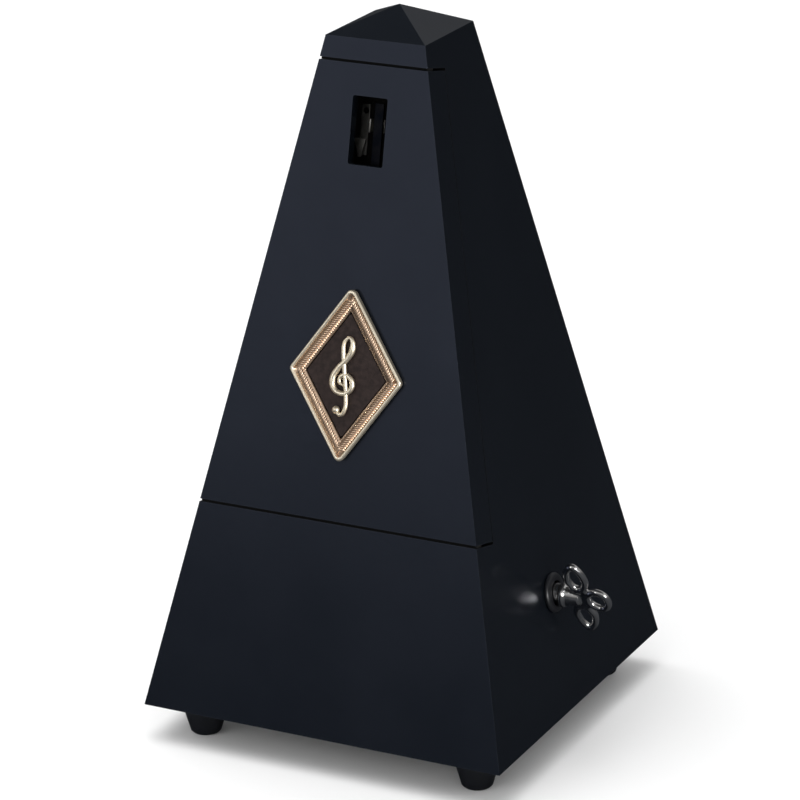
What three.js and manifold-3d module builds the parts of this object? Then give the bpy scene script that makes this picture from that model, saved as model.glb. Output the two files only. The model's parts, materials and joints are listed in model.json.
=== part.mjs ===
// A wind-up pyramid metronome: a tapering case on four feet, a front cover that tips forward off its
// tabs, a pendulum with a sliding weight in front of a scale, and a spring-driven movement that is wound
// by a wing key on the right. Millimetres, +Z up, +X right, the front faces -Y.
// The origin is on the table, under the middle of the outline. The case's axis lies a little to -X of it,
// because the key sticks out at +X.

import * as THREE from 'three';
import { mergeVertices } from 'three/addons/utils/BufferGeometryUtils.js';
import Module from 'manifold-3d';

// ---------------------------------------------------------------- driving dimensions
const BASE = 118; // width and depth of the case at its underside
const APEX = 276.8; // height at which the four tapering faces would meet
const EAVE = 201.8; // top of the tapering faces, where the hip roof starts
const PEAK = 208.9; // top of the hip roof
const CAP_SEAM = 195.2; // height of the joint between the cap and the cover, on the front face
const LOWER_SEAM = 63.6; // height of the joint between the cover and the lower front panel
const FOOT_HEIGHT = 11.5;
const WALL = 4.5; // thickness of the case boards
const COVER_DEPTH = 10.3; // depth of the cover, from its face to the edge of its side rims
const COVER_BOARD = 3.4; // thickness of the cover's face board
const RIM = 2.6; // thickness of the cover's rims
const SEAM = 0.8; // open joint above and below the cover
const GAP = 0.3; // clearance between neighbouring pieces
const KEY_REACH = 70.5; // how far the key's outer lobe is from the case's axis
const KEY_Y = -5; // winding arbor's axis, from the case's axis
const KEY_Z = 35.5; // and above the case's underside

// Depths below the front face of what hangs in front of the scale, and heights up the face.
const ROD_DEPTH = 7;
const ROD_THICKNESS = 1;
const BOARD_DEPTH = 11.5;
const BOARD_THICKNESS = 3;
const PIVOT_RISE = 54;
const BOB_RISE = 24;
const ROD_TOP = 188;
const WEIGHT_RISE = 134;

// Gear train: teeth and modules. Each wheel is a whole number of pitches ahead after a quarter turn
// of the barrel, so the meshes look the same there.
const GREAT_TEETH = 64;
const MIDDLE_TEETH = 48;
const PINION_LEAVES = 8;
const GREAT_MODULE = 0.55;
const MIDDLE_MODULE = 0.5;
const ESCAPE_TEETH = 20;
const RATCHET_TEETH = 20;

// ---------------------------------------------------------------- derived dimensions
const tilt = Math.atan(BASE / 2 / APEX); // lean of each face from the vertical
const slope = (height) => height / Math.cos(tilt); // distance up a face to a height
const halfWidth = (height) => (BASE / 2) * (1 - height / APEX);
const lowerSeam = slope(LOWER_SEAM);
const capSeam = slope(CAP_SEAM);
const capBottom = CAP_SEAM - 2.5; // the cap reaches lower behind the cover's top edge
const LONG = 400; // longer than anything in the object
const OVER = 1; // how far a cutter runs past what it cuts

// ---------------------------------------------------------------- materials
const finish = (color, roughness, metalness) =>
  new THREE.MeshStandardMaterial({ color, roughness, metalness });
const lacquer = finish(0x15181d, 0.18, 0);
const board = finish(0x6b4a2e, 0.6, 0);
const blackPlastic = finish(0x101113, 0.4, 0);
const gilt = finish(0xcfa986, 0.35, 0.9);
const fieldBrown = finish(0x2a201c, 0.35, 0);
const scalePaint = finish(0xd9d4c6, 0.5, 0);
const steel = finish(0x9a9ca0, 0.35, 1);
const brass = finish(0xc9a24e, 0.3, 1);
const castMetal = finish(0x5a5c60, 0.6, 0.8);
const nickel = finish(0xc8cacd, 0.15, 1);

// ---------------------------------------------------------------- solids and booleans
const wasm = await Module();
wasm.setup();

// A closed geometry as a solid: positions only, doubles merged, faces of no area dropped.
function solid(geometry, matrix = new THREE.Matrix4()) {
  const bare = new THREE.BufferGeometry();
  bare.setAttribute('position', geometry.getAttribute('position').clone());
  if (geometry.index) bare.setIndex(geometry.index.clone());
  const merged = mergeVertices(bare.applyMatrix4(matrix), 1e-4);
  const corners = [];
  for (let i = 0; i < merged.index.count; i += 3) {
    const [a, b, c] = [0, 1, 2].map((k) => merged.index.getX(i + k));
    if (a !== b && b !== c && c !== a) corners.push(a, b, c);
  }
  return new wasm.Manifold(
    new wasm.Mesh({
      numProp: 3,
      vertProperties: new Float32Array(merged.getAttribute('position').array),
      triVerts: new Uint32Array(corners),
    }),
  );
}

function geometryOf(shape) {
  const { vertProperties, triVerts } = shape.getMesh();
  const geometry = new THREE.BufferGeometry();
  geometry.setAttribute('position', new THREE.BufferAttribute(new Float32Array(vertProperties), 3));
  geometry.setIndex(new THREE.BufferAttribute(new Uint32Array(triVerts), 1));
  return geometry;
}

const joined = (shapes) => shapes.reduce((all, shape) => all.add(shape));
const without = (shape, cutters) => cutters.reduce((left, cutter) => left.subtract(cutter), shape);

// ---------------------------------------------------------------- frames
// The frame of one face of the pyramid: x across it, y inwards, z up the slope, from its bottom edge.
// Turn 0 is the front, a quarter turn the right side, and so on round.
function faceFrame(turn) {
  return new THREE.Matrix4()
    .makeRotationZ(turn)
    .multiply(new THREE.Matrix4().makeTranslation(0, -BASE / 2, 0))
    .multiply(new THREE.Matrix4().makeRotationX(-tilt));
}
const FRONT = 0;
const RIGHT = Math.PI / 2;
const BACK = Math.PI;
const LEFT = -Math.PI / 2;

// A point given across the front, up its slope and below its surface, in the case's frame.
const frontPoint = (x, rise, depth) => new THREE.Vector3(x, depth, rise).applyMatrix4(faceFrame(FRONT));

// Turns a shape drawn in y and z so that its extrusion runs along +X.
const alongX = new THREE.Matrix4().makeBasis(
  new THREE.Vector3(0, 1, 0),
  new THREE.Vector3(0, 0, 1),
  new THREE.Vector3(1, 0, 0),
);
// Turns a shape drawn in x and z so that its extrusion runs along -Y, towards the front.
const towardsFront = new THREE.Matrix4().makeRotationX(Math.PI / 2);
const moved = (x, y, z) => new THREE.Matrix4().makeTranslation(x, y, z);

// ---------------------------------------------------------------- simple shapes
function block(x0, x1, y0, y1, z0, z1) {
  const box = new THREE.BoxGeometry(x1 - x0, y1 - y0, z1 - z0);
  return box.translate((x0 + x1) / 2, (y0 + y1) / 2, (z0 + z1) / 2);
}

// The space between two depths below one face, and between two distances up it.
const slab = (turn, depth0, depth1, rise0 = -LONG, rise1 = LONG) =>
  solid(block(-LONG, LONG, depth0, depth1, rise0, rise1), faceFrame(turn));

// A turned shape on the Z axis with four sides: each profile point is a half-width and a height.
function squareTower(profile) {
  const points = profile.map(([half, height]) => new THREE.Vector2(half * Math.SQRT2, height));
  const lathe = new THREE.LatheGeometry(points, 4, Math.PI / 4);
  return solid(lathe, new THREE.Matrix4().makeRotationX(Math.PI / 2));
}

// The taper of the case, set in by a distance, between two heights.
function tower(inset, z0, z1) {
  const half = (z) => halfWidth(z) - inset / Math.cos(tilt);
  return squareTower([[0, z0], [half(z0), z0], [half(z1), z1], [0, z1]]);
}

// A turned piece: profile points are a radius and a distance along +Z, or along +X or +Y (inwards).
function turned(profile, segments = 24) {
  const points = profile.map(([radius, along]) => new THREE.Vector2(radius, along));
  return new THREE.LatheGeometry(points, segments).rotateX(Math.PI / 2);
}
const turnedX = (profile, segments) => turned(profile, segments).rotateY(Math.PI / 2);
const turnedY = (profile, segments) => turned(profile, segments).rotateX(-Math.PI / 2);
const rodProfile = (radius, from, to) => [[0, from], [radius, from], [radius, to], [0, to]];
const ringProfile = (inner, outer, from, to) => [
  [inner, from], [outer, from], [outer, to], [inner, to], [inner, from],
];

function outline(points) {
  return new THREE.Shape(points.map(([x, y]) => new THREE.Vector2(x, y)));
}

function circleHole(shape, x, y, radius) {
  const hole = new THREE.Path();
  hole.absarc(x, y, radius, 0, 2 * Math.PI, true);
  shape.holes.push(hole);
}

const plate = (shape, thickness, curveSegments = 8) =>
  new THREE.ExtrudeGeometry(shape, { depth: thickness, bevelEnabled: false, curveSegments });

// ---------------------------------------------------------------- the scene graph
const metronome = new THREE.Group();
const caseFrame = new THREE.Group();
caseFrame.position.set(-(KEY_REACH - BASE / 2) / 2, 0, FOOT_HEIGHT);
metronome.add(caseFrame);

const frontFrame = new THREE.Group();
frontFrame.applyMatrix4(faceFrame(FRONT));
caseFrame.add(frontFrame);

function piece(parent, name, geometry, material) {
  const mesh = new THREE.Mesh(geometry, material);
  mesh.name = name;
  parent.add(mesh);
  return mesh;
}

// ---------------------------------------------------------------- case
const profileOfCase = [[0, 0], [BASE / 2, 0], [halfWidth(EAVE), EAVE], [0, PEAK]];
const outerForm = squareTower(profileOfCase);
const belowCap = tower(-OVER, -OVER, capBottom - GAP);
const keyHole = solid(turnedX(rodProfile(4, 40, 60)), moved(0, KEY_Y, KEY_Z));
const behindCover = [
  slab(FRONT, -LONG, WALL + GAP),
  slab(FRONT, -LONG, COVER_DEPTH + GAP, lowerSeam - SEAM / 2),
];

function sidePanel(turn) {
  const wall = outerForm.intersect(slab(turn, 0, WALL)).intersect(belowCap);
  return without(wall, [...behindCover, keyHole]);
}

function buildCase() {
  piece(caseFrame, 'side_panel_left', geometryOf(sidePanel(LEFT)), lacquer);
  piece(caseFrame, 'side_panel_right', geometryOf(sidePanel(RIGHT)), lacquer);

  const back = outerForm.intersect(slab(BACK, 0, WALL)).intersect(belowCap);
  const beside = [slab(LEFT, -OVER, WALL + GAP), slab(RIGHT, -OVER, WALL + GAP)];
  piece(caseFrame, 'back_panel', geometryOf(without(back, beside)), lacquer);

  const lowerFront = outerForm.intersect(slab(FRONT, 0, WALL, -LONG, lowerSeam - SEAM / 2));
  piece(caseFrame, 'lower_front_panel', geometryOf(lowerFront), lacquer);

  const overCover = slab(FRONT, -LONG, COVER_DEPTH + GAP, -LONG, capSeam + SEAM / 2);
  const head = outerForm.intersect(solid(block(-LONG, LONG, -LONG, LONG, capBottom, LONG)));
  piece(caseFrame, 'top_cap', geometryOf(without(head, [overCover])), lacquer);
}

// ---------------------------------------------------------------- base and feet
const BASE_BOARD = 5;
const FOOT_INSET = 13.5; // from the case's sides to a foot's axis
const FOOT_RADIUS = 7;
const SCREW_RADIUS = 1.3;
const corners = [
  ['front_left', -1, -1],
  ['front_right', 1, -1],
  ['back_left', -1, 1],
  ['back_right', 1, 1],
];

function buildBase() {
  const reach = BASE / 2 - FOOT_INSET;
  const drill = turned(rodProfile(SCREW_RADIUS + GAP, -OVER, BASE_BOARD + OVER), 16);
  const holes = corners.map(([, x, y]) => solid(drill, moved(x * reach, y * reach, 0)));
  const plank = tower(WALL + GAP, 0, BASE_BOARD);
  piece(caseFrame, 'base_board', geometryOf(without(plank, holes)), board);

  // A cup-shaped foot with a blind hole in its top for the screw that comes down through the board.
  const cup = [
    [0, -FOOT_HEIGHT], [3.8, -FOOT_HEIGHT], [4.6, -FOOT_HEIGHT + 0.7], [5.4, -8], [6.3, -5], [6.9, -2.2],
    [FOOT_RADIUS, -GAP - 0.6], [6.6, -GAP], [SCREW_RADIUS + GAP, -GAP], [SCREW_RADIUS + GAP, -8.3], [0, -8.3],
  ];
  const screw = [
    [0, -8], [SCREW_RADIUS, -8], [SCREW_RADIUS, BASE_BOARD + GAP], [2.6, BASE_BOARD + GAP],
    [2.6, BASE_BOARD + 1.1], [1.6, BASE_BOARD + 2], [0, BASE_BOARD + 2],
  ];
  for (const [where, x, y] of corners) {
    piece(caseFrame, `foot_${where}`, turned(cup), blackPlastic).position.set(x * reach, y * reach, 0);
    piece(caseFrame, `foot_screw_${where}`, turned(screw, 12), steel).position.set(x * reach, y * reach, 0);
  }
}

// ---------------------------------------------------------------- scale
const CATCH_RISE = 193.6;
const PLATE_DEPTH = 10.7; // front of the scale plate
const PLATE_TOP = 166;
const PLATE_WIDTH = 23.2;
const CLIP_RISE = 181; // middle of the rod's clip, up the front

function buildScale() {
  const width = tower(WALL + GAP, 0, capBottom - GAP);
  const catchPlace = faceFrame(FRONT).multiply(moved(0, 0, CATCH_RISE));
  const catchHole = solid(turnedY(rodProfile(2.2, 0, 20), 16), catchPlace);
  const plank = slab(FRONT, BOARD_DEPTH, BOARD_DEPTH + BOARD_THICKNESS, lowerSeam + 2, capSeam - 2);
  piece(caseFrame, 'scale_board', geometryOf(without(plank.intersect(width), [catchHole])), board);

  const half = PLATE_WIDTH / 2;
  const sheet = block(-half, half, PLATE_DEPTH, BOARD_DEPTH - GAP, lowerSeam + 9, PLATE_TOP);
  piece(frontFrame, 'scale_plate', sheet, scalePaint);

  // The clip that holds the rod when it is put away: a strip beside the rod, an arm behind it with two
  // prongs, and a wedge-shaped lip that stands forward at the strip's foot.
  const back = BOARD_DEPTH - GAP;
  const front = back - 0.6;
  const strip = block(-7.6, -5, front, back, -9, 6);
  const arm = block(-7.6, 4, front, back, -2, 2);
  const prongs = [-3.6, 3.6].map((x) => block(x - 0.4, x + 0.4, 8.2, back, -2, 2));
  const bridge = block(-6.9, -5.9, 8.8, back, -8.6, -5);
  const lip = plate(outline([[-8.4, -4], [-6.9, -9.4], [-5.8, -9.4], [-4.6, -4]]), 0.8);
  lip.applyMatrix4(towardsFront).translate(0, 9.4, 0);
  const clip = joined([strip, arm, ...prongs, bridge, lip].map((shape) => solid(shape)));
  const hole = solid(turnedY(rodProfile(0.9, 0, 20), 12), moved(-6.3, 0, 4));
  piece(frontFrame, 'rod_clip', geometryOf(clip.subtract(hole)), brass).position.z = CLIP_RISE;
}

// ---------------------------------------------------------------- front cover
const WINDOW_WIDTH = 11.2; // the open window near the cover's top
const WINDOW_LOW = 170;
const WINDOW_HIGH = 190;

function buildCover() {
  const shell = outerForm.intersect(slab(FRONT, 0, COVER_DEPTH, lowerSeam + SEAM / 2, capSeam - SEAM / 2));
  const behindFace = slab(FRONT, COVER_BOARD, LONG, -LONG, capSeam - SEAM / 2 - RIM);
  const inside = tower(RIM, 0, EAVE).intersect(behindFace);
  const half = WINDOW_WIDTH / 2;
  const opening = block(-half, half, -OVER, COVER_BOARD + OVER, WINDOW_LOW, WINDOW_HIGH);
  const window = solid(opening, faceFrame(FRONT));
  piece(caseFrame, 'front_cover', geometryOf(without(shell, [inside, window])), lacquer);

  // A bent strip along the cover's lower edge, with two tabs that hook behind the lower front panel.
  const strip = solid(block(-34, 34, COVER_BOARD + GAP, COVER_BOARD + GAP + 1, 1, 6));
  const tabs = [-28, 28].map((x) => solid(block(x - 4, x + 4, COVER_BOARD + GAP, 5.9, 1, 2)));
  const hooks = [-28, 28].map((x) => solid(block(x - 4, x + 4, 4.9, 5.9, -3.5, 2)));
  const strap = piece(frontFrame, 'cover_tabs', geometryOf(joined([strip, ...tabs, ...hooks])), steel);
  strap.position.z = lowerSeam;

  const peg = [[0, 0], [2.4, 0], [2.4, 0.8], [1.5, 1.2], [1.5, 8.4], [0.8, 9.2], [0, 9.2]];
  piece(frontFrame, 'catch_peg', turnedY(peg, 16), steel).position.set(0, COVER_BOARD + GAP, CATCH_RISE);
}

// ---------------------------------------------------------------- badge
const BADGE_WIDTH = 36.8;
const BADGE_HEIGHT = 52.9;
const BADGE_BORDER = 4.3;
const BADGE_RISE = 108.9;

// A rhombus with its sides set in by a distance.
function rhombus(inset, Kind = THREE.Shape) {
  const side = Math.hypot(BADGE_WIDTH, BADGE_HEIGHT);
  const w = BADGE_WIDTH / 2 - (inset * side) / BADGE_HEIGHT;
  const h = BADGE_HEIGHT / 2 - (inset * side) / BADGE_WIDTH;
  return new Kind([[w, 0], [0, h], [-w, 0], [0, -h]].map(([x, y]) => new THREE.Vector2(x, y)));
}

// The two strokes of a treble clef: the curl with its loop, and the stem with its tail.
const clefCurl = [
  [0.05, -0.3], [-0.42, 0], [-0.2, 0.52], [0.35, 0.5], [0.72, -0.05], [0.45, -0.7], [-0.2, -0.92],
  [-0.85, -0.6], [-1.02, 0.15], [-0.6, 1.05], [0.1, 1.85], [0.5, 2.7], [0.35, 3.45], [0.08, 3.6],
];
const clefStem = [
  [0.08, 3.6], [-0.25, 3.1], [-0.25, 2.3], [0, 0.6], [0.27, -1.3], [0.25, -2.1], [-0.1, -2.6], [-0.55, -2.35],
];
const CLEF_UNIT = 3.7;
const CLEF_SHIFT = 0.5; // the clef is taller above its curl than below

function buildBadge() {
  const border = rhombus(0);
  border.holes.push(rhombus(BADGE_BORDER, THREE.Path));
  const frame = plate(border, 1.9).applyMatrix4(towardsFront);
  piece(frontFrame, 'badge_frame', frame, gilt).position.set(0, -GAP, BADGE_RISE);

  const field = plate(rhombus(BADGE_BORDER + GAP), 0.8).applyMatrix4(towardsFront);
  piece(frontFrame, 'badge_field', field, fieldBrown).position.set(0, -GAP, BADGE_RISE);

  const wire = outline([0, 1, 2, 3, 4, 5, 6, 7].map((k) => {
    const angle = (k * Math.PI) / 4;
    return [0.55 * Math.cos(angle), 0.85 * Math.sin(angle)];
  }));
  const strokes = [clefCurl, clefStem].map((points) => {
    const route = points.map(([x, y]) => new THREE.Vector3(x * CLEF_UNIT, 0, (y - CLEF_SHIFT) * CLEF_UNIT));
    const path = new THREE.CatmullRomCurve3(route, false, 'catmullrom', 0.5);
    return solid(new THREE.ExtrudeGeometry(wire, { steps: 26, extrudePath: path }));
  });
  const tail = new THREE.SphereGeometry(1.2, 12, 8);
  tail.translate(-0.55 * CLEF_UNIT, 0, (-2.3 - CLEF_SHIFT) * CLEF_UNIT);
  const clef = geometryOf(joined([...strokes, solid(tail)]));
  piece(frontFrame, 'badge_clef', clef, gilt).position.set(0, -2.7, BADGE_RISE);
}

// ---------------------------------------------------------------- pendulum
const ROD_WIDTH = 3;
const ARBOR_RADIUS = 1.2;
const ARBOR_END = 34; // depth of the pendulum arbor's inner end
const BOB_RADIUS = 15;
const BOB_BEVEL = 1.2;
const BOB_FRONT = 5.4; // depths of the bob's two flat sides
const BOB_BACK = 13.4;
const PALLET_DEPTHS = [16.8, 27.2];
const PALLET_TURN = 0.62; // how far each pallet's blade is turned from straight down, in radians

function buildPendulum() {
  const half = ROD_WIDTH / 2;
  const rodBottom = BOB_RISE - 4;
  const front = ROD_DEPTH - ROD_THICKNESS / 2;
  const rodBack = front + ROD_THICKNESS;
  piece(frontFrame, 'pendulum_rod', block(-half, half, front, rodBack, rodBottom, ROD_TOP), steel);

  // The bob is a round slug with bevelled rims and a slot for the rod across its front.
  const rim = BOB_RADIUS - BOB_BEVEL;
  const slug = solid(turnedY([
    [0, BOB_FRONT], [rim, BOB_FRONT], [BOB_RADIUS, BOB_FRONT + 1], [BOB_RADIUS, BOB_BACK - 1],
    [rim, BOB_BACK], [0, BOB_BACK],
  ], 40));
  const slot = solid(block(-half - GAP, half + GAP, 0, rodBack + GAP, rodBottom - BOB_RISE - GAP, LONG));
  piece(frontFrame, 'pendulum_bob', geometryOf(slug.subtract(slot)), castMetal).position.z = BOB_RISE;

  const pivot = new THREE.Group();
  pivot.position.z = PIVOT_RISE;
  frontFrame.add(pivot);
  piece(pivot, 'rod_hub', turnedY(ringProfile(ARBOR_RADIUS + GAP, 3.6, rodBack + GAP, 11), 20), brass);
  piece(pivot, 'pendulum_arbor', turnedY(rodProfile(ARBOR_RADIUS, rodBack + GAP, ARBOR_END), 16), steel);

  // Each pallet is a collar on the arbor with a blade that hangs to one side of the escape wheel.
  const blade = solid(block(-0.35, 0.35, -1.4, 1.4, -5.6, -ARBOR_RADIUS - 0.6));
  const collar = solid(turnedY(ringProfile(ARBOR_RADIUS + GAP, 2.5, -1.4, 1.4), 16));
  for (const [i, where] of ['front', 'rear'].entries()) {
    const pallet = piece(pivot, `pallet_${where}`, geometryOf(joined([collar, blade])), steel);
    pallet.position.y = PALLET_DEPTHS[i];
    pallet.rotation.y = (i ? -1 : 1) * PALLET_TURN;
  }
}

// ---------------------------------------------------------------- sliding weight
function buildSlidingWeight() {
  const body = outline([[-6.6, 8], [-5.2, -7], [-4.4, -8], [4.4, -8], [5.2, -7], [6.6, 8]]);
  const trapezoid = solid(plate(body, 5.4).applyMatrix4(towardsFront), moved(0, 9.7, 0));
  const half = ROD_WIDTH / 2 + GAP;
  const channel = solid(block(-half, half, ROD_DEPTH - 0.5 - GAP, LONG, -LONG, LONG));
  const weight = piece(frontFrame, 'sliding_weight', geometryOf(trapezoid.subtract(channel)), nickel);
  weight.position.z = WEIGHT_RISE;

  // A bowed leaf behind the rod, in the weight's channel, which gives it its friction.
  const leaf = outline([[7.9, -6.4], [8.3, -6.4], [8.6, 0], [8.3, 6.4], [7.9, 6.4], [8.2, 0]]);
  const spring = plate(leaf, 2.4).applyMatrix4(alongX).translate(-1.2, 0, 0);
  piece(frontFrame, 'weight_spring', spring, steel).position.z = WEIGHT_RISE;
}

// ---------------------------------------------------------------- gears
// A gear's outline with straight-sided teeth; the first tooth points at the phase angle.
function gearShape(teeth, module, phase, bore, windows) {
  const pitch = (module * teeth) / 2;
  const root = pitch - 1.25 * module;
  const tip = pitch + 0.85 * module;
  const step = (2 * Math.PI) / teeth;
  const points = [];
  for (let k = 0; k < teeth; k += 1) {
    const middle = phase + k * step;
    for (const [radius, part] of [[root, -0.26], [tip, -0.11], [tip, 0.11], [root, 0.26]]) {
      const angle = middle + part * step;
      points.push([radius * Math.cos(angle), radius * Math.sin(angle)]);
    }
  }
  const shape = outline(points);
  circleHole(shape, 0, 0, bore);
  addWindows(shape, windows, root);
  return shape;
}

// Round lightening windows between a wheel's hub and its rim.
function addWindows(shape, count, root) {
  for (let k = 0; k < count; k += 1) {
    const angle = ((k + 0.5) * 2 * Math.PI) / count;
    const radius = root * 0.62;
    circleHole(shape, radius * Math.cos(angle), radius * Math.sin(angle), root * 0.2);
  }
}

// A wheel of hooked teeth, as the ratchet and the escape wheel have.
function hookedShape(teeth, tip, root, phase, bore) {
  const step = (2 * Math.PI) / teeth;
  const points = [];
  for (let k = 0; k < teeth; k += 1) {
    const start = phase + k * step;
    points.push([root * Math.cos(start), root * Math.sin(start)]);
    points.push([tip * Math.cos(start + 0.82 * step), tip * Math.sin(start + 0.82 * step)]);
  }
  const shape = outline(points);
  circleHole(shape, 0, 0, bore);
  return shape;
}

// ---------------------------------------------------------------- movement
const BARREL = new THREE.Vector2(KEY_Y, KEY_Z); // arbor centres are points in y and z
const escapePoint = frontPoint(0, PIVOT_RISE - 11.5, 22);
const ESCAPE = new THREE.Vector2(escapePoint.y, escapePoint.z);
const greatToMiddle = (GREAT_MODULE * (GREAT_TEETH + PINION_LEAVES)) / 2;
const middleToEscape = (MIDDLE_MODULE * (MIDDLE_TEETH + PINION_LEAVES)) / 2;
const MIDDLE = thirdCorner(BARREL, greatToMiddle, ESCAPE, middleToEscape);

// The lower of the two points at given distances from two others.
function thirdCorner(a, fromA, b, fromB) {
  const between = b.clone().sub(a);
  const length = between.length();
  const along = (length ** 2 + fromA ** 2 - fromB ** 2) / (2 * length);
  const across = Math.sqrt(fromA ** 2 - along ** 2);
  const unit = between.divideScalar(length);
  const foot = a.clone().addScaledVector(unit, along);
  const normal = new THREE.Vector2(-unit.y, unit.x);
  return foot.addScaledVector(normal, normal.y < 0 ? across : -across);
}

const directionOf = (from, to) => Math.atan2(to.y - from.y, to.x - from.x);

const LEFT_PLATE = -17.5; // outer side of the left plate, along X
const RIGHT_PLATE = 28.5; // inner side of the right plate
const MOVEMENT_PLATE = 1.5;
const WINDING_RADIUS = 2.2;
const pillarPlaces = [[-20, 53.4], [-35.6, 10.6], [12, 12]]; // in y and z

// An arbor group: everything on it is drawn round the X axis.
function arborGroup(centre) {
  const group = new THREE.Group();
  group.position.set(0, centre.x, centre.y);
  caseFrame.add(group);
  return group;
}

// A flat piece on an arbor, from a place along X.
const disc = (shape, thickness, x) => plate(shape, thickness, 6).applyMatrix4(alongX).translate(x, 0, 0);

function movementPlate() {
  const shape = outline([
    [-37, 7.5], [14, 7.5], [16, 9.5], [16, 55], [14, 57], [-23, 57], [-38, 46], [-38, 8.5],
  ]);
  circleHole(shape, BARREL.x, BARREL.y, 2.6);
  circleHole(shape, MIDDLE.x, MIDDLE.y, 1.3);
  circleHole(shape, ESCAPE.x, ESCAPE.y, 1.3);
  for (const [y, z] of pillarPlaces) circleHole(shape, y, z, 1.3);
  return shape;
}

function buildMovementFrame() {
  const inner = LEFT_PLATE + MOVEMENT_PLATE;
  piece(caseFrame, 'movement_plate_left', disc(movementPlate(), MOVEMENT_PLATE, LEFT_PLATE), brass);
  piece(caseFrame, 'movement_plate_right', disc(movementPlate(), MOVEMENT_PLATE, RIGHT_PLATE), brass);

  // The pillars are riveted into the left plate, and a screw holds the right plate on each.
  const leftEnd = LEFT_PLATE - 0.8;
  const rightEnd = RIGHT_PLATE + MOVEMENT_PLATE;
  const pin = 1;
  const post = [
    [0, leftEnd], [pin, leftEnd], [pin, inner + GAP], [2.2, inner + GAP], [2.2, RIGHT_PLATE - GAP],
    [pin, RIGHT_PLATE - GAP], [pin, rightEnd], [0, rightEnd],
  ];
  const head = rightEnd + GAP;
  const screw = [[0, head], [2.3, head], [2.3, head + 0.8], [1.3, head + 1.5], [0, head + 1.5]];
  for (const [i, [y, z]] of pillarPlaces.entries()) {
    piece(caseFrame, `pillar_${i + 1}`, turnedX(post, 16), steel).position.set(0, y, z);
    piece(caseFrame, `plate_screw_${i + 1}`, turnedX(screw, 12), steel).position.set(0, y, z);
  }

  // Two bars carry the pendulum arbor: a bridge across both plates and a cock from the left one.
  const bearing = solid(turnedY(rodProfile(ARBOR_RADIUS + 0.1, 0, 40), 16));
  const bars = [
    ['front_bridge', RIGHT_PLATE - GAP, 13.2, 14.8],
    ['rear_cock', 4.2, 31, 33],
  ];
  for (const [name, end, depth0, depth1] of bars) {
    const bar = solid(block(inner + GAP, end, depth0, depth1, -3, 4)).subtract(bearing);
    piece(frontFrame, name, geometryOf(bar), brass).position.z = PIVOT_RISE;
  }
}

function spiralSpring() {
  const turns = 6;
  const steps = turns * 24;
  const thickness = 0.5;
  const innerRadius = 4.2;
  const outerRadius = 13.2;
  const at = (t, add) => {
    const angle = t * turns * 2 * Math.PI;
    const radius = innerRadius + (outerRadius - innerRadius) * t + add;
    return [radius * Math.cos(angle), radius * Math.sin(angle)];
  };
  const outside = Array.from({ length: steps + 1 }, (_, k) => at(k / steps, thickness));
  const inside = Array.from({ length: steps + 1 }, (_, k) => at(k / steps, 0)).reverse();
  return outline([...outside, ...inside]);
}

function buildBarrel() {
  const barrel = arborGroup(BARREL);
  const bore = WINDING_RADIUS + GAP;
  const wall = 15;
  const drum = [[bore, 11], [wall, 11], [wall, 26], [wall - 1, 26], [wall - 1, 12], [bore, 12], [bore, 11]];
  const toMiddle = directionOf(BARREL, MIDDLE);
  const wheel = gearShape(GREAT_TEETH, GREAT_MODULE, toMiddle, bore, 5);
  piece(barrel, 'mainspring_barrel', turnedX(drum, 40), brass);
  piece(barrel, 'barrel_lid', turnedX(ringProfile(bore, wall, 26 + GAP, 27.4), 40), brass);
  piece(barrel, 'mainspring', disc(spiralSpring(), 12.6, 12.6), steel);
  piece(barrel, 'great_wheel', disc(wheel, 1.6, 9), brass);
}

const thinArbor = () => turnedX(rodProfile(0.8, LEFT_PLATE, RIGHT_PLATE + MOVEMENT_PLATE), 12);

function buildMiddleArbor() {
  const middle = arborGroup(MIDDLE);
  const bore = 1.1;
  const pinionPhase = directionOf(MIDDLE, BARREL) + Math.PI / PINION_LEAVES;
  const wheelPhase = directionOf(MIDDLE, ESCAPE);
  const pinion = gearShape(PINION_LEAVES, GREAT_MODULE, pinionPhase, bore, 0);
  const wheel = gearShape(MIDDLE_TEETH, MIDDLE_MODULE, wheelPhase, bore, 5);
  piece(middle, 'middle_arbor', thinArbor(), steel);
  piece(middle, 'middle_pinion', disc(pinion, 3.4, 8), steel);
  piece(middle, 'middle_wheel', disc(wheel, 1.2, -7), brass);
}

function buildEscapeArbor() {
  const escape = arborGroup(ESCAPE);
  const bore = 1.1;
  const pinionPhase = directionOf(ESCAPE, MIDDLE) + Math.PI / PINION_LEAVES;
  const pinion = gearShape(PINION_LEAVES, MIDDLE_MODULE, pinionPhase, bore, 0);
  const root = 7.2;
  const wheel = hookedShape(ESCAPE_TEETH, 9, root, 0, bore);
  addWindows(wheel, 5, root);
  piece(escape, 'escape_arbor', thinArbor(), steel);
  piece(escape, 'escape_pinion', disc(pinion, 3, -7.9), steel);
  piece(escape, 'escape_wheel', disc(wheel, 1, -0.5), brass);
}

// ---------------------------------------------------------------- winding arbor, ratchet and key
const RATCHET_X = 31;
const SOCKET_X = 50;
const KEY_TURN = THREE.MathUtils.degToRad(30); // the blade's lean from upright, its top to the front

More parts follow.
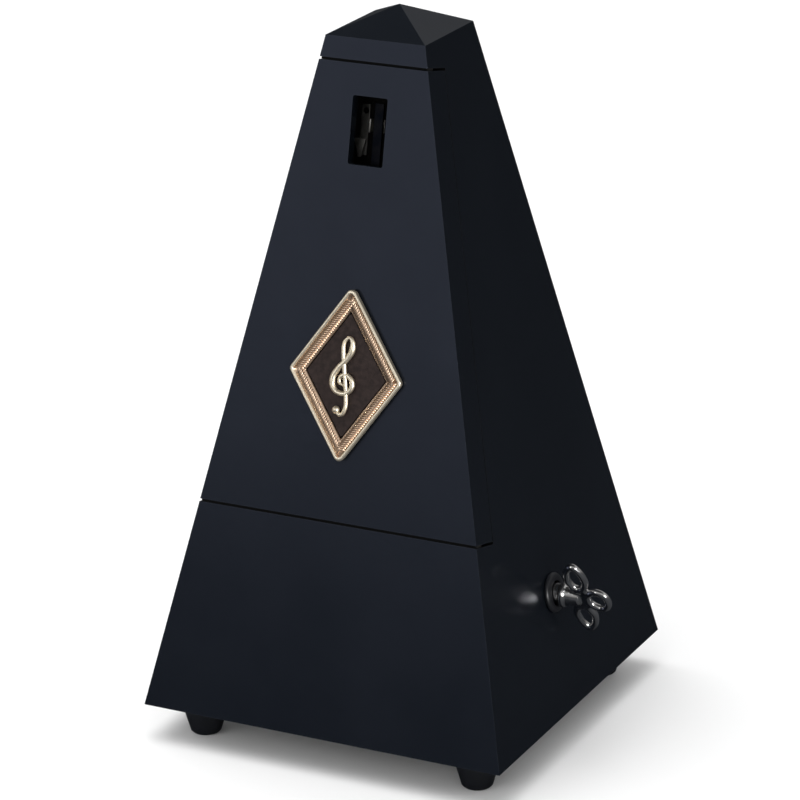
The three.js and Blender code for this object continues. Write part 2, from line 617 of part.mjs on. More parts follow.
function buildWinding() {
  const winding = arborGroup(BARREL);
  const shaft = [
    [0, LEFT_PLATE], [WINDING_RADIUS, LEFT_PLATE], [WINDING_RADIUS, 49.6], [1.6, 49.6], [1.6, 56.6],
    [0, 56.6],
  ];
  piece(winding, 'winding_arbor', turnedX(shaft, 20), steel);
  const ratchet = hookedShape(RATCHET_TEETH, 9, 7.4, 0, WINDING_RADIUS + GAP);
  piece(winding, 'ratchet_wheel', disc(ratchet, 1.6, RATCHET_X), steel);

  // The key: a stem with a blind socket, a collar, and a blade of three open petals.
  const stem = [
    [1.9, SOCKET_X], [3.2, SOCKET_X], [3.2, 54.4], [3.9, 54.8], [3.9, 55.8], [3.2, 56.2], [2.2, 60.5],
    [0, 60.5], [0, 57], [1.9, 57], [1.9, SOCKET_X],
  ];
  const wire = 1.1;
  const petal = (x, across, halfLength, outwards) => {
    const ring = new THREE.TorusGeometry(outwards, wire, 8, 20).rotateX(Math.PI / 2);
    return solid(ring.scale(halfLength / outwards, 1, 1).rotateY(Math.PI / 2), moved(x, 0, across));
  };
  const wings = [-9.2, 9.2].map((across) => petal(60.6, across, 5, 2.9));
  const outer = petal(KEY_REACH - 3.6 - wire, 0, 3.9, 3.6);
  const web = solid(block(58, KEY_REACH - 8, -1, 1, -4.6, 4.6));
  const key = joined([solid(turnedX(stem, 20)), ...wings, outer, web]);
  piece(winding, 'winding_key', geometryOf(key), nickel).rotation.x = KEY_TURN;

  // The escutcheon lies flat on the right side, round the point where the arbor's axis leaves it.
  const rise = slope(KEY_Z);
  const boss = turnedY([[0, -1.5], [5.2, -1.5], [6, -1], [6, -GAP], [0, -GAP]], 28);
  const escutcheon = solid(boss, moved(KEY_Y, 0, rise));
  const sideFrame = faceFrame(RIGHT);
  const arborPlace = sideFrame.clone().invert().multiply(moved(0, KEY_Y, KEY_Z));
  const hole = solid(turnedX(rodProfile(3.8, 40, 60)), arborPlace);
  const sideGroup = new THREE.Group();
  sideGroup.applyMatrix4(sideFrame);
  caseFrame.add(sideGroup);
  piece(sideGroup, 'key_escutcheon', geometryOf(escutcheon.subtract(hole)), blackPlastic);
}

// ---------------------------------------------------------------- click
const CLICK_REACH = 14; // from the winding arbor's axis back to the click's pivot
const CLICK_RISE = 6; // and up

function buildClick() {
  const pivot = arborGroup(new THREE.Vector2(BARREL.x + CLICK_REACH, BARREL.y + CLICK_RISE));
  const lever = outline([
    [2.2, -1.6], [2.2, 1.8], [-1, 2.4], [-5.4, 1.8], [-6.6, -0.6], [-5.2, -0.6], [-1.6, -1.8],
  ]);
  circleHole(lever, 0, 0, 1.3);
  piece(pivot, 'click', disc(lever, 1.6, RATCHET_X), steel);
  const screw = [[0, 30.3], [1, 30.3], [1, 32.9], [2, 32.9], [2, 33.9], [0, 33.9]];
  piece(pivot, 'click_screw', turnedX(screw, 16), steel);
  const leaf = outline([[-4.2, 2.4], [1.6, 7.6], [6, 8.4], [6, 9], [1.2, 8.2], [-4.6, 2.8]]);
  piece(pivot, 'click_spring', disc(leaf, 1.2, RATCHET_X + 0.2), steel);
}

buildCase();
buildBase();
buildScale();
buildCover();
buildBadge();
buildPendulum();
buildSlidingWeight();
buildMovementFrame();
buildBarrel();
buildMiddleArbor();
buildEscapeArbor();
buildWinding();
buildClick();

export default metronome;
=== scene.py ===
# %% [markdown]
# # A wind-up pyramid metronome
#
# The metronome is a tapering black case on four feet. A cover with a gilt badge closes its front, a wing
# key winds the spring on its right side, and a pendulum swings in front of a scale inside.
#
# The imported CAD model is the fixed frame: it says where every piece is and what moves. Here each visible
# piece gets its finished surface, and everything is made in metres, in the frame's own coordinates.

# %% Load the frame
import json
import math

import bmesh
import bpy
from mathutils import Matrix, Vector

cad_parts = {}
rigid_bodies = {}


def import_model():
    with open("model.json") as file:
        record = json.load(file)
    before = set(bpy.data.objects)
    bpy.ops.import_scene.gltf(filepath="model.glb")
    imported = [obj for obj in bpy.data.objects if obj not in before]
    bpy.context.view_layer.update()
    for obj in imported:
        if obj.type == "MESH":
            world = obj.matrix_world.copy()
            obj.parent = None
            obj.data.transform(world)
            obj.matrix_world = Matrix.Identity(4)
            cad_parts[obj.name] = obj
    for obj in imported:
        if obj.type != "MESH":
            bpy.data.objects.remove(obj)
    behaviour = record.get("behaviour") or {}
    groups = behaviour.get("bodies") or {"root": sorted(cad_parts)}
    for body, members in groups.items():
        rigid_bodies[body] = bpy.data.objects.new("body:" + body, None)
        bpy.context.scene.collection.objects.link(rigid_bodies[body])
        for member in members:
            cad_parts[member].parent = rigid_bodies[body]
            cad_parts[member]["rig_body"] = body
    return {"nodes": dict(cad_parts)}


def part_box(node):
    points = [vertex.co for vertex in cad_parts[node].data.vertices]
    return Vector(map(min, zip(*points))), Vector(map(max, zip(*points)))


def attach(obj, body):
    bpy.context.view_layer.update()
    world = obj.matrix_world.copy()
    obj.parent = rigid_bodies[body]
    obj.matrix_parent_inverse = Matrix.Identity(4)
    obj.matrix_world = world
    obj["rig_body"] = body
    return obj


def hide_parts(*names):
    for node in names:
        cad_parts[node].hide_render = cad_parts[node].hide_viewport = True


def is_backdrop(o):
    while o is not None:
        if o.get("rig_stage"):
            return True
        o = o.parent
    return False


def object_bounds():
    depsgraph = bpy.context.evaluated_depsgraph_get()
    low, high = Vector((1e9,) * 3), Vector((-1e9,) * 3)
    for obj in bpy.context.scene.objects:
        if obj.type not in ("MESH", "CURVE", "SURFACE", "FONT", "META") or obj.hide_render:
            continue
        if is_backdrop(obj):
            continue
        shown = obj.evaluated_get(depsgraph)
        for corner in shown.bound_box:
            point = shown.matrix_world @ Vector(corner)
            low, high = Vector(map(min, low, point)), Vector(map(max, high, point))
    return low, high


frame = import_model()
cad_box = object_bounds()
scene = bpy.context.scene

# %% [markdown]
# ## Sizes
#
# The case is a pyramid with a square base, cut off under a low hip roof. Its base, its height and its two
# seams are read from the frame. What a box can't show, such as the thickness of a board, is a named value.

# %% Driving sizes
MM = 0.001
WALL = 4.5 * MM  # thickness of the case boards
COVER_DEPTH = 10.3 * MM  # from the cover's face to the edge of its side rims
COVER_BOARD = 3.4 * MM  # thickness of the cover's face board
RIM = 2.6 * MM  # thickness of the cover's rims
SEAM = 0.8 * MM  # open joint above and below the cover
GAP = 0.3 * MM  # clearance between neighbouring pieces
APEX = 276.8 * MM  # height at which the four tapering faces would meet
ROOF_RISE = 7.1 * MM
CAP_OVERLAP = 2.5 * MM  # how far the solid cap reaches down behind the cover's top edge

panel_low, panel_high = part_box("lower_front_panel")
BASE = panel_high.x - panel_low.x
CASE_ORIGIN = Vector((panel_low.x + BASE / 2, panel_low.y + BASE / 2, panel_low.z))
TILT = math.atan(BASE / 2 / APEX)
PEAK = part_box("top_cap")[1].z - CASE_ORIGIN.z
EAVE = PEAK - ROOF_RISE
LOWER_SEAM = (panel_high.z - CASE_ORIGIN.z) / math.cos(TILT) + SEAM / 2
CAP_SEAM = (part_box("front_cover")[1].z - CASE_ORIGIN.z) / math.cos(TILT) + SEAM / 2
print(f"base {BASE / MM:.1f} mm, peak {PEAK / MM:.1f} mm, faces lean {math.degrees(TILT):.2f} degrees")
print(f"seams {LOWER_SEAM / MM:.1f} and {CAP_SEAM / MM:.1f} mm up the front")

# %% [markdown]
# ## Places
#
# A piece is modelled where its numbers are simple, and then its place is written into its mesh. A piece of
# the front is drawn in the front's own directions: x across, y inwards and z up the slope. The right side
# is the same face turned a quarter turn.

# %% Frames of the case and its faces
IN_CASE = Matrix.Translation(CASE_ORIGIN)


def on_face(turn):
    out = Matrix.Translation((0, -BASE / 2, 0))
    return IN_CASE @ Matrix.Rotation(turn, 4, "Z") @ out @ Matrix.Rotation(-TILT, 4, "X")


ON_FRONT = on_face(0)
ON_RIGHT = on_face(math.pi / 2)
UPRIGHT_TO_RIGHT = Matrix.Rotation(math.pi / 2, 4, "Y")


def half_width(height):
    return BASE / 2 * (1 - height / APEX)


def centre_of(node):
    low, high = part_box(node)
    return (low + high) / 2


print("half-width at the eave", round(half_width(EAVE) / MM, 2), "mm")

# %% [markdown]
# ## Making pieces
#
# Every piece takes the same steps: a bmesh becomes an object with its material, and it rides on the body of
# the CAD node that it stands for. Edges are eased with a Bevel modifier, because no real edge is perfectly
# sharp and a rounded edge catches the light. The flat sides between them are shaded flat, so that the
# rounding of an edge doesn't bleed across a whole board.

# %% Helpers for pieces
FLAT_WIDTH = 1.3 * MM  # area over rim of the narrowest face that counts as a flat side


def as_object(name, bm, material, place=Matrix.Identity(4)):
    bmesh.ops.transform(bm, matrix=place, verts=bm.verts)
    mesh = bpy.data.meshes.new(name)
    bm.to_mesh(mesh)
    bm.free()
    mesh.shade_smooth()
    mesh.materials.append(material)
    made = bpy.data.objects.new(name, mesh)
    scene.collection.objects.link(made)
    return made


def stand_for(made, *nodes):
    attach(made, frame["nodes"][nodes[0]]["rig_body"])
    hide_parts(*nodes)
    return made


def settle(made):
    """Writes the modifiers into the mesh."""
    evaluated = made.evaluated_get(bpy.context.evaluated_depsgraph_get())
    mesh = bpy.data.meshes.new_from_object(evaluated)
    made.modifiers.clear()
    made.data = mesh
    return made


def ease(made, width, segments=2, angle=30):
    """Rounds the edges. Faces that are wide both ways are flat sides, and the rest stay smooth."""
    bevel = made.modifiers.new("eased edges", "BEVEL")
    bevel.width = width
    bevel.segments = segments
    bevel.limit_method = "ANGLE"
    bevel.angle_limit = math.radians(angle)
    bevel.miter_outer = "MITER_SHARP"
    settle(made)
    mesh = made.data
    for face in mesh.polygons:
        rim = sum((mesh.vertices[a].co - mesh.vertices[b].co).length for a, b in face.edge_keys)
        face.use_smooth = face.area < FLAT_WIDTH * rim
    return made


def cut_out(made, tool):
    """Cuts a tool out of a piece and throws the tool away. Both have to be closed forms."""
    boolean = made.modifiers.new("cut", "BOOLEAN")
    boolean.object = tool
    boolean.operation = "DIFFERENCE"
    boolean.solver = "EXACT"
    boolean.material_mode = "TRANSFER"
    settle(made)
    bpy.data.objects.remove(tool)
    return made


# %% [markdown]
# ### Shapes
#
# Boards, turned parts and planed cuts come back all through the piece, so each has one helper: a tower
# extruded from a square, a plain block that later cuts or joins, a profile spun round an axis, and a plane
# that slices a shape and closes the cut. Drawing each by hand would give the same shapes with more code.

# %% Helpers for shapes
def square_tower(sections, corner=0.0, segments=5):
    """A square is drawn at the first (half-width, height) and extruded to each next one."""
    bm = bmesh.new()
    half, height = sections[0]
    bmesh.ops.create_grid(bm, x_segments=1, y_segments=1, size=half)
    bmesh.ops.translate(bm, verts=bm.verts, vec=(0, 0, height))
    top = bm.faces[:]
    for k, (next_half, next_height) in enumerate(sections[1:]):
        drawn = bmesh.ops.extrude_face_region(bm, geom=top)
        if k > 0:  # from the second step on, the old top would stay behind inside the tower
            bmesh.ops.delete(bm, geom=top, context="FACES_ONLY")
        top = [item for item in drawn["geom"] if isinstance(item, bmesh.types.BMFace)]
        corners = [item for item in drawn["geom"] if isinstance(item, bmesh.types.BMVert)]
        share = next_half / half
        bmesh.ops.scale(bm, verts=corners, vec=(share, share, 1))
        bmesh.ops.translate(bm, verts=corners, vec=(0, 0, next_height - height))
        half, height = next_half, next_height
    if corner:
        round_uprights(bm, corner, segments)
    bmesh.ops.recalc_face_normals(bm, faces=bm.faces)
    return bm


def round_uprights(bm, radius, segments):
    uprights = [edge for edge in bm.edges if abs(edge.verts[0].co.z - edge.verts[1].co.z) > MM]
    bmesh.ops.bevel(
        bm, geom=uprights, offset=radius, offset_type="OFFSET", affect="EDGES", segments=segments,
        profile=0.5, material=-1, clamp_overlap=True,
    )


def block(x0, x1, y0, y1, z0, z1):
    bm = bmesh.new()
    bmesh.ops.create_cube(bm, size=1)
    bmesh.ops.scale(bm, verts=bm.verts, vec=(x1 - x0, y1 - y0, z1 - z0))
    bmesh.ops.translate(bm, verts=bm.verts, vec=((x0 + x1) / 2, (y0 + y1) / 2, (z0 + z1) / 2))
    return bm


def turned(profile, steps=48):
    """Spins a closed profile of (radius, along) points round the Z axis."""
    bm = bmesh.new()
    points = [bm.verts.new((radius, 0, along)) for radius, along in profile]
    lines = [bm.edges.new((a, b)) for a, b in zip(points, points[1:] + points[:1])]
    bmesh.ops.spin(
        bm, geom=points + lines, cent=(0, 0, 0), axis=(0, 0, 1), angle=2 * math.pi, steps=steps,
        use_merge=True,
    )
    bmesh.ops.remove_doubles(bm, verts=bm.verts, dist=MM / 1000)
    wires = [edge for edge in bm.edges if not edge.link_faces]
    bmesh.ops.delete(bm, geom=wires, context="EDGES")
    bmesh.ops.recalc_face_normals(bm, faces=bm.faces)
    return bm


def slice_off(bm, point, outwards):
    """Cuts away what lies outwards of a plane and closes the cut."""
    geometry = bm.verts[:] + bm.edges[:] + bm.faces[:]
    bmesh.ops.bisect_plane(bm, geom=geometry, plane_co=point, plane_no=outwards, clear_outer=True)
    bmesh.ops.remove_doubles(bm, verts=bm.verts, dist=MM / 1000)
    rim = [edge for edge in bm.edges if edge.is_boundary]
    bmesh.ops.holes_fill(bm, edges=rim, sides=0)
    bmesh.ops.recalc_face_normals(bm, faces=bm.faces)


# %% [markdown]
# ## Shared surface effects
#
# Several finishes need the same small imperfections: a grain, a rubbed edge, a little dust, a cloudy
# change in gloss. Each is a node group, so that a material only sets its own strengths. A group puts out
# values, and the shader itself stays in the material.

# %% Node helpers
def place_node(tree, kind, links=(), **settings):
    """Adds a node, sets its attributes and fills its inputs: links are (input, value or output socket)."""
    node = tree.nodes.new(kind)
    for key, value in settings.items():
        setattr(node, key, value)
    for key, value in links:
        if isinstance(value, bpy.types.NodeSocket):
            tree.links.new(value, node.inputs[key])
        else:
            node.inputs[key].default_value = value
    return node


def calculate(tree, operation, a, b=0.0):
    return place_node(tree, "ShaderNodeMath", [(0, a), (1, b)], operation=operation).outputs[0]


def new_group(name, inputs, outputs):
    tree = bpy.data.node_groups.new(name, "ShaderNodeTree")
    for label, value in inputs:
        socket = tree.interface.new_socket(label, in_out="INPUT", socket_type="NodeSocketFloat")
        socket.default_value = value
    for label in outputs:
        tree.interface.new_socket(label, in_out="OUTPUT", socket_type="NodeSocketFloat")
    given = tree.nodes.new("NodeGroupInput").outputs
    result = tree.nodes.new("NodeGroupOutput").inputs
    return tree, given, result


def object_noise(tree, scale, stretch=(1, 1, 1), detail=3.0, roughness=0.5):
    coordinates = place_node(tree, "ShaderNodeTexCoord").outputs["Object"]
    mapping = place_node(tree, "ShaderNodeMapping", [("Vector", coordinates), ("Scale", stretch)])
    links = [("Vector", mapping.outputs[0]), ("Scale", scale), ("Detail", detail), ("Roughness", roughness)]
    return place_node(tree, "ShaderNodeTexNoise", links).outputs["Fac"]


def remap(tree, value, low, high, new_low=0.0, new_high=1.0):
    links = [
        ("Value", value), ("From Min", low), ("From Max", high), ("To Min", new_low), ("To Max", new_high),
    ]
    return place_node(tree, "ShaderNodeMapRange", links).outputs[0]


# %% [markdown]
# ### Grain
#
# No finish is perfectly smooth up close. Two noises of different size, added together, look less regular
# than one. The group gives a height, and each material decides how deep it is.

# %% Grain: a fine, even roughness of the surface
def build_grain():
    tree, given, result = new_group("fine_grain", [("Scale", 1000.0)], ["Height"])
    coarse = object_noise(tree, given["Scale"], detail=2.0)
    finer = object_noise(tree, calculate(tree, "MULTIPLY", given["Scale"], 3.7), detail=2.0)
    tree.links.new(calculate(tree, "ADD", coarse, calculate(tree, "MULTIPLY", finer, 0.35)), result["Height"])
    return tree


# %% [markdown]
# ### Edge wear
#
# Hands rub lacquer thin along its edges. The wear could be painted by hand. A Bevel node finds the edges
# by itself instead: it rounds the normal there, and the difference from the true normal is the mask.

# %% Edge wear: where the surface turns sharply, broken up by noise
def build_edge_wear():
    tree, given, result = new_group("edge_wear", [("Radius", 0.4 * MM), ("Breakup", 0.5)], ["Mask"])
    rounded = place_node(tree, "ShaderNodeBevel", [("Radius", given["Radius"])], samples=4).outputs[0]
    flat = place_node(tree, "ShaderNodeNewGeometry").outputs["Normal"]
    agree = place_node(tree, "ShaderNodeVectorMath", [(0, rounded), (1, flat)], operation="DOT_PRODUCT")
    edge = remap(tree, agree.outputs["Value"], 0.995, 0.9)
    patchy = remap(tree, object_noise(tree, 900.0), 0.35, 0.65)
    loss = calculate(tree, "MULTIPLY", calculate(tree, "SUBTRACT", 1.0, patchy), given["Breakup"])
    kept = calculate(tree, "SUBTRACT", 1.0, loss)
    tree.links.new(calculate(tree, "MULTIPLY", edge, kept), result["Mask"])
    return tree


# %% [markdown]
# ### Dust
#
# Dust lies as specks and as a thin film, mostly on what faces up. The upward part of the normal gives
# that, so the same group suits every piece without being told which side is the top.

# %% Dust: sparse specks, thicker where the surface faces up
def build_dust():
    tree, given, result = new_group("settled_dust", [("Amount", 0.2)], ["Mask"])
    normal = place_node(tree, "ShaderNodeNewGeometry").outputs["Normal"]
    up = place_node(tree, "ShaderNodeSeparateXYZ", [(0, normal)]).outputs["Z"]
    facing = remap(tree, up, 0.0, 0.9, 0.25, 1.0)
    specks = remap(tree, object_noise(tree, 2600.0, detail=1.0), 0.66, 0.74)
    film = remap(tree, object_noise(tree, 60.0), 0.3, 0.8, 0.0, 0.35)
    both = calculate(tree, "MAXIMUM", specks, film)
    settled = calculate(tree, "MULTIPLY", both, facing)
    tree.links.new(calculate(tree, "MULTIPLY", settled, given["Amount"]), result["Mask"])
    return tree


# %% [markdown]
# ### Clouding
#
# A wiped surface is never equally glossy all over. Slow noise moves the roughness between two values.

# %% Clouding: slow changes of gloss left by hands and cloths
def build_clouding():
    tree, given, result = new_group("clouding", [("Low", 0.3), ("High", 0.4)], ["Value"])
    slow = object_noise(tree, 45.0, detail=4.0, roughness=0.6)
    tree.links.new(remap(tree, slow, 0.3, 0.7, given["Low"], given["High"]), result["Value"])
    return tree


# %% [markdown]
# ### Brushing
#
# Brushed metal has fine scratches that run one way. Stretching a noise along one axis draws them.

# %% Brushing: long upright scratches
def build_brushing():
    tree, given, result = new_group("brushing", [("Scale", 900.0)], ["Height"])
    tree.links.new(object_noise(tree, given["Scale"], (1, 1, 0.05)), result["Height"])
    return tree


GRAIN = build_grain()
EDGE_WEAR = build_edge_wear()
DUST = build_dust()
CLOUDING = build_clouding()
BRUSHING = build_brushing()
print("node groups:", ", ".join(sorted(group.name for group in bpy.data.node_groups)))

# %% [markdown]
# ## Materials
#
# A finish is a Principled shader with patterned colour, roughness and bump. `start_material` makes the
# shader and sets what is the same all over. The groups are then wired in by the finish itself.

# %% Material helpers
def start_material(name, **settings):
    material = bpy.data.materials.new(name)
    material.use_nodes = True
    tree = material.node_tree
    shader = tree.nodes["Principled BSDF"]
    for key, value in settings.items():
        shader.inputs[key.replace("_", " ")].default_value = value
    return material, tree, shader


def fill_group(tree, group, links):
    node = tree.nodes.new("ShaderNodeGroup")
    node.node_tree = group
    for key, value in links:
        node.inputs[key].default_value = value
    return node


def blend_colour(tree, mask, a, b):
    node = place_node(tree, "ShaderNodeMix", data_type="RGBA")
    tree.links.new(mask, node.inputs["Factor"])
    for socket, value in ((node.inputs[6], a), (node.inputs[7], b)):
        if isinstance(value, bpy.types.NodeSocket):
            tree.links.new(value, socket)
        else:
            socket.default_value = (*value, 1)
    return node.outputs[2]


def add_bump(tree, shader, height, distance, strength=1.0):
    links = [("Height", height), ("Distance", distance), ("Strength", strength)]
    bump = place_node(tree, "ShaderNodeBump", links)
    tree.links.new(bump.outputs[0], shader.inputs["Normal"])


# %% [markdown]
# ### Black lacquer
#
# The case is wood under satin black lacquer. Its reflections are tinted blue by the Specular Tint, which is a
# painted reflection colour. It could be a flat black, which looks like plastic. Faint pores, an uneven gloss
# and rubbed edges show that there is wood beneath.

# %% Black lacquer
def build_lacquer():
    """Satin black lacquer over wood: a faint upright grain shows through, and the edges are rubbed."""
    # The blue Specular Tint paints a cool colour into the lacquer's reflections.
    material, tree, shader = start_material(
        "black_lacquer", Specular_IOR_Level=0.2, Specular_Tint=(0.66, 0.73, 1.0, 1)
    )
    worn = fill_group(tree, EDGE_WEAR, [("Radius", 0.5 * MM), ("Breakup", 0.8)]).outputs[0]
    dust = fill_group(tree, DUST, [("Amount", 0.02)]).outputs[0]
    rubbed = calculate(tree, "MULTIPLY", worn, 0.2)
    tone = remap(tree, object_noise(tree, 25.0, (1, 1, 0.3)), 0.3, 0.7)
    body = blend_colour(tree, tone, (0.0036, 0.0050, 0.0074), (0.0048, 0.0064, 0.0092))
    edged = blend_colour(tree, rubbed, body, (0.05, 0.055, 0.065))
    tree.links.new(blend_colour(tree, dust, edged, (0.12, 0.12, 0.13)), shader.inputs["Base Color"])
    gloss = fill_group(tree, CLOUDING, [("Low", 0.2), ("High", 0.27)]).outputs[0]
    tree.links.new(calculate(tree, "ADD", gloss, dust), shader.inputs["Roughness"])
    pores = remap(tree, object_noise(tree, 1500.0, (1, 1, 0.04)), 0.25, 0.45)
    peel = fill_group(tree, GRAIN, [("Scale", 420.0)]).outputs[0]
    height = calculate(tree, "ADD", calculate(tree, "MULTIPLY", pores, 0.5), peel)
    add_bump(tree, shader, height, 0.02 * MM, 0.5)
    return material


# %% [markdown]
# ### Black-stained wood
#
# The inside and the scale board are stained, not lacquered, so they are dull and show their streaks. The
# streaks are one noise, stretched upright, that colours the wood and changes its roughness.

# %% Black-stained wood
def build_stained_wood():
    material, tree, shader = start_material("stained_wood", Specular_IOR_Level=0.08)
    rings = object_noise(tree, 260.0, (1, 1, 0.07), detail=5.0)
    streaks = remap(tree, rings, 0.35, 0.65)
    colour = blend_colour(tree, streaks, (0.0022, 0.0020, 0.0020), (0.0075, 0.0062, 0.0058))
    tree.links.new(colour, shader.inputs["Base Color"])
    tree.links.new(remap(tree, rings, 0.3, 0.7, 0.75, 0.55), shader.inputs["Roughness"])
    add_bump(tree, shader, object_noise(tree, 1800.0, (1, 1, 0.05)), 0.06 * MM)
    return material


# %% [markdown]
# ### Black felt
#
# Felt swallows light. It is nearly black, very rough, and has a little sheen for the fibres that stand up.

# %% Black felt
def build_felt():
    material, tree, shader = start_material("black_felt", Specular_IOR_Level=0.05, Sheen_Weight=0.1)
    fibres = object_noise(tree, 3000.0, detail=4.0)
    colour = blend_colour(tree, fibres, (0.001, 0.001, 0.001), (0.004, 0.004, 0.004))
    tree.links.new(colour, shader.inputs["Base Color"])
    tree.links.new(remap(tree, fibres, 0.3, 0.7, 0.9, 1.0), shader.inputs["Roughness"])
    add_bump(tree, shader, fibres, 0.1 * MM)
    return material


# %% [markdown]
# ### Black plastic
#
# The feet and the escutcheon are moulded. They are glossier than the felt and duller than the lacquer,
# with edges rubbed slightly grey.

# %% Black plastic
def build_black_plastic():
    material, tree, shader = start_material("black_plastic")
    worn = fill_group(tree, EDGE_WEAR, [("Radius", 0.3 * MM), ("Breakup", 0.6)]).outputs[0]
    colour = blend_colour(tree, worn, (0.008, 0.009, 0.012), (0.03, 0.031, 0.035))
    tree.links.new(colour, shader.inputs["Base Color"])
    gloss = fill_group(tree, CLOUDING, [("Low", 0.28), ("High", 0.4)]).outputs[0]
    tree.links.new(gloss, shader.inputs["Roughness"])
    add_bump(tree, shader, fill_group(tree, GRAIN, [("Scale", 2500.0)]).outputs[0], 0.01 * MM)
    return material


# %% [markdown]
# ### Metals
#
# All the metals differ only in colour, gloss and brushing, so one function makes them. Patches of a duller
# tone keep a large flat part from looking like a mirror.

# %% Metals
def build_metal(name, bright, dull, low, high, grain, depth, texture=GRAIN):
    """A metal with duller patches; low and high bound its roughness, and depth is the bump's."""
    material, tree, shader = start_material(name, Metallic=1.0)
    patches = remap(tree, object_noise(tree, 350.0, detail=5.0, roughness=0.65), 0.35, 0.7)
    tree.links.new(blend_colour(tree, patches, bright, dull), shader.inputs["Base Color"])
    cloud = fill_group(tree, CLOUDING, [("Low", low), ("High", high)]).outputs[0]
    tree.links.new(cloud, shader.inputs["Roughness"])
    add_bump(tree, shader, fill_group(tree, texture, [("Scale", grain)]).outputs[0], depth)
    return material


# %% [markdown]
# ### Enamel and paint
#
# The badge has a dark brown enamelled field and the scale a cream painted plate. Both are opaque coats
# with a faint stain in them, so each is a plain shader whose colour and gloss follow one noise.

# %% Badge enamel and scale paint
def build_enamel():
    material, tree, shader = start_material("brown_enamel", Specular_IOR_Level=0.12)
    mottle = remap(tree, object_noise(tree, 700.0, detail=4.0), 0.35, 0.65)
    colour = blend_colour(tree, mottle, (0.017, 0.011, 0.010), (0.030, 0.020, 0.018))
    tree.links.new(colour, shader.inputs["Base Color"])
    tree.links.new(remap(tree, mottle, 0.0, 1.0, 0.38, 0.5), shader.inputs["Roughness"])
    add_bump(tree, shader, fill_group(tree, GRAIN, [("Scale", 1800.0)]).outputs[0], 0.03 * MM)
    return material


def build_paint(name, colour, aged):
    material, tree, shader = start_material(name)
    stain = remap(tree, object_noise(tree, 90.0, detail=5.0), 0.4, 0.75)
    tree.links.new(blend_colour(tree, stain, colour, aged), shader.inputs["Base Color"])
    tree.links.new(remap(tree, stain, 0.0, 1.0, 0.45, 0.6), shader.inputs["Roughness"])
    add_bump(tree, shader, fill_group(tree, GRAIN, [("Scale", 1500.0)]).outputs[0], 0.01 * MM)
    return material


# %% [markdown]
# ### The finishes, built
#
# Each finish is built once and shared by every piece that has it.

# %% The finishes of this object
LACQUER = build_lacquer()
STAINED_WOOD = build_stained_wood()
BLACK_PLASTIC = build_black_plastic()
FELT = build_felt()
ENAMEL = build_enamel()
SCALE_PAINT = build_paint("scale_paint", (0.72, 0.67, 0.54), (0.60, 0.52, 0.38))
PRINT = build_paint("printing_ink", (0.012, 0.012, 0.013), (0.025, 0.024, 0.023))
GILT = build_metal("gilt", (0.80, 0.60, 0.44), (0.70, 0.51, 0.37), 0.36, 0.46, 1600.0, 0.012 * MM)
# A paler, brighter copy of the gilt for the bead and the clef: painted highlight.
GILT_PAINTED_HIGHLIGHT = build_metal(
    "gilt_painted_highlight", (1.0, 0.91, 0.74), (0.97, 0.85, 0.66), 0.4, 0.5, 1600.0, 0.006 * MM
)
BRASS = build_metal("brass", (0.80, 0.60, 0.27), (0.66, 0.47, 0.20), 0.25, 0.38, 1100.0, 0.01 * MM, BRUSHING)
STEEL = build_metal(
    "steel", (0.56, 0.57, 0.59), (0.42, 0.43, 0.45), 0.24, 0.36, 1300.0, 0.008 * MM, BRUSHING
)
# The rod's steel is nearly black: painted shade for the shadow that the rod lies in behind the window.
ROD_STEEL_PAINTED_SHADE = build_metal(
    "rod_steel_painted_shade", (0.002, 0.0025, 0.004), (0.005, 0.005, 0.006), 0.34, 0.46, 1300.0, 0.008 * MM, BRUSHING
)
DULL_NICKEL = build_metal("dull_nickel", (0.50, 0.49, 0.46), (0.34, 0.33, 0.31), 0.36, 0.5, 900.0, 0.01 * MM)
NICKEL = build_metal("nickel_plate", (0.80, 0.79, 0.78), (0.62, 0.61, 0.61), 0.1, 0.2, 700.0, 0.008 * MM)
CAST_METAL = build_metal("cast_metal", (0.24, 0.24, 0.25), (0.13, 0.13, 0.14), 0.45, 0.6, 900.0, 0.12 * MM)
print(len(bpy.data.materials), "materials")

# %% [markdown]
# ## The lacquered case
#
# Sides, back, lower front and cap are separate boards, but they are glued and lacquered together, so only
# one surface shows. It could be five boards side by side, and then their joints would show as lines. Here
# the outside is one square tower with sharp corners. The room inside and the place of the cover are cut
# out of it with Boolean modifiers, and what the tools leave has the colour of stained wood. A Boolean cut
# only gives the same result every time on a closed form, so no face may be left inside the tower.

# %% The outer form
CORNER = 0.008 * MM  # the upright corners stay sharp: this tiny arc only keeps them out of the easing
TIP = MM / 100  # half-width of the roof's tip
OVER = 2 * MM  # how far a cutting tool runs past what it cuts
LONG = 400 * MM


def outer_form():
    return square_tower([(BASE / 2, 0), (half_width(EAVE), EAVE), (TIP, PEAK)], CORNER)


def inner_form(inset, low, high):
    """The room inside boards of a given thickness, between two heights."""
    shrink = inset / math.cos(TILT)
    return square_tower([(half_width(z) - shrink, z) for z in (low, high)])


def slab_of_front(depth0, depth1, rise0, rise1):
    bm = block(-LONG, LONG, depth0, depth1, rise0, rise1)
    bmesh.ops.transform(bm, matrix=IN_CASE.inverted() @ ON_FRONT, verts=bm.verts)
    return bm


# %% [markdown]
# ### Cutting the case
#
# A real case is glued up hollow. Here the solid form is made first and its hollows are cut out of it,
# because then every wall is as thick as the tool leaves it and the outside stays one clean surface.

# %% Cut the case
case = as_object("lacquered_case", outer_form(), LACQUER)
CEILING = EAVE - 3 * CAP_OVERLAP
cut_out(case, as_object("room", inner_form(WALL, -OVER, CEILING), STAINED_WOOD))
cover_place = slab_of_front(-OVER * 5, COVER_DEPTH + GAP, LOWER_SEAM - SEAM / 2, CAP_SEAM + SEAM / 2)
cut_out(case, as_object("cover_place", cover_place, STAINED_WOOD))

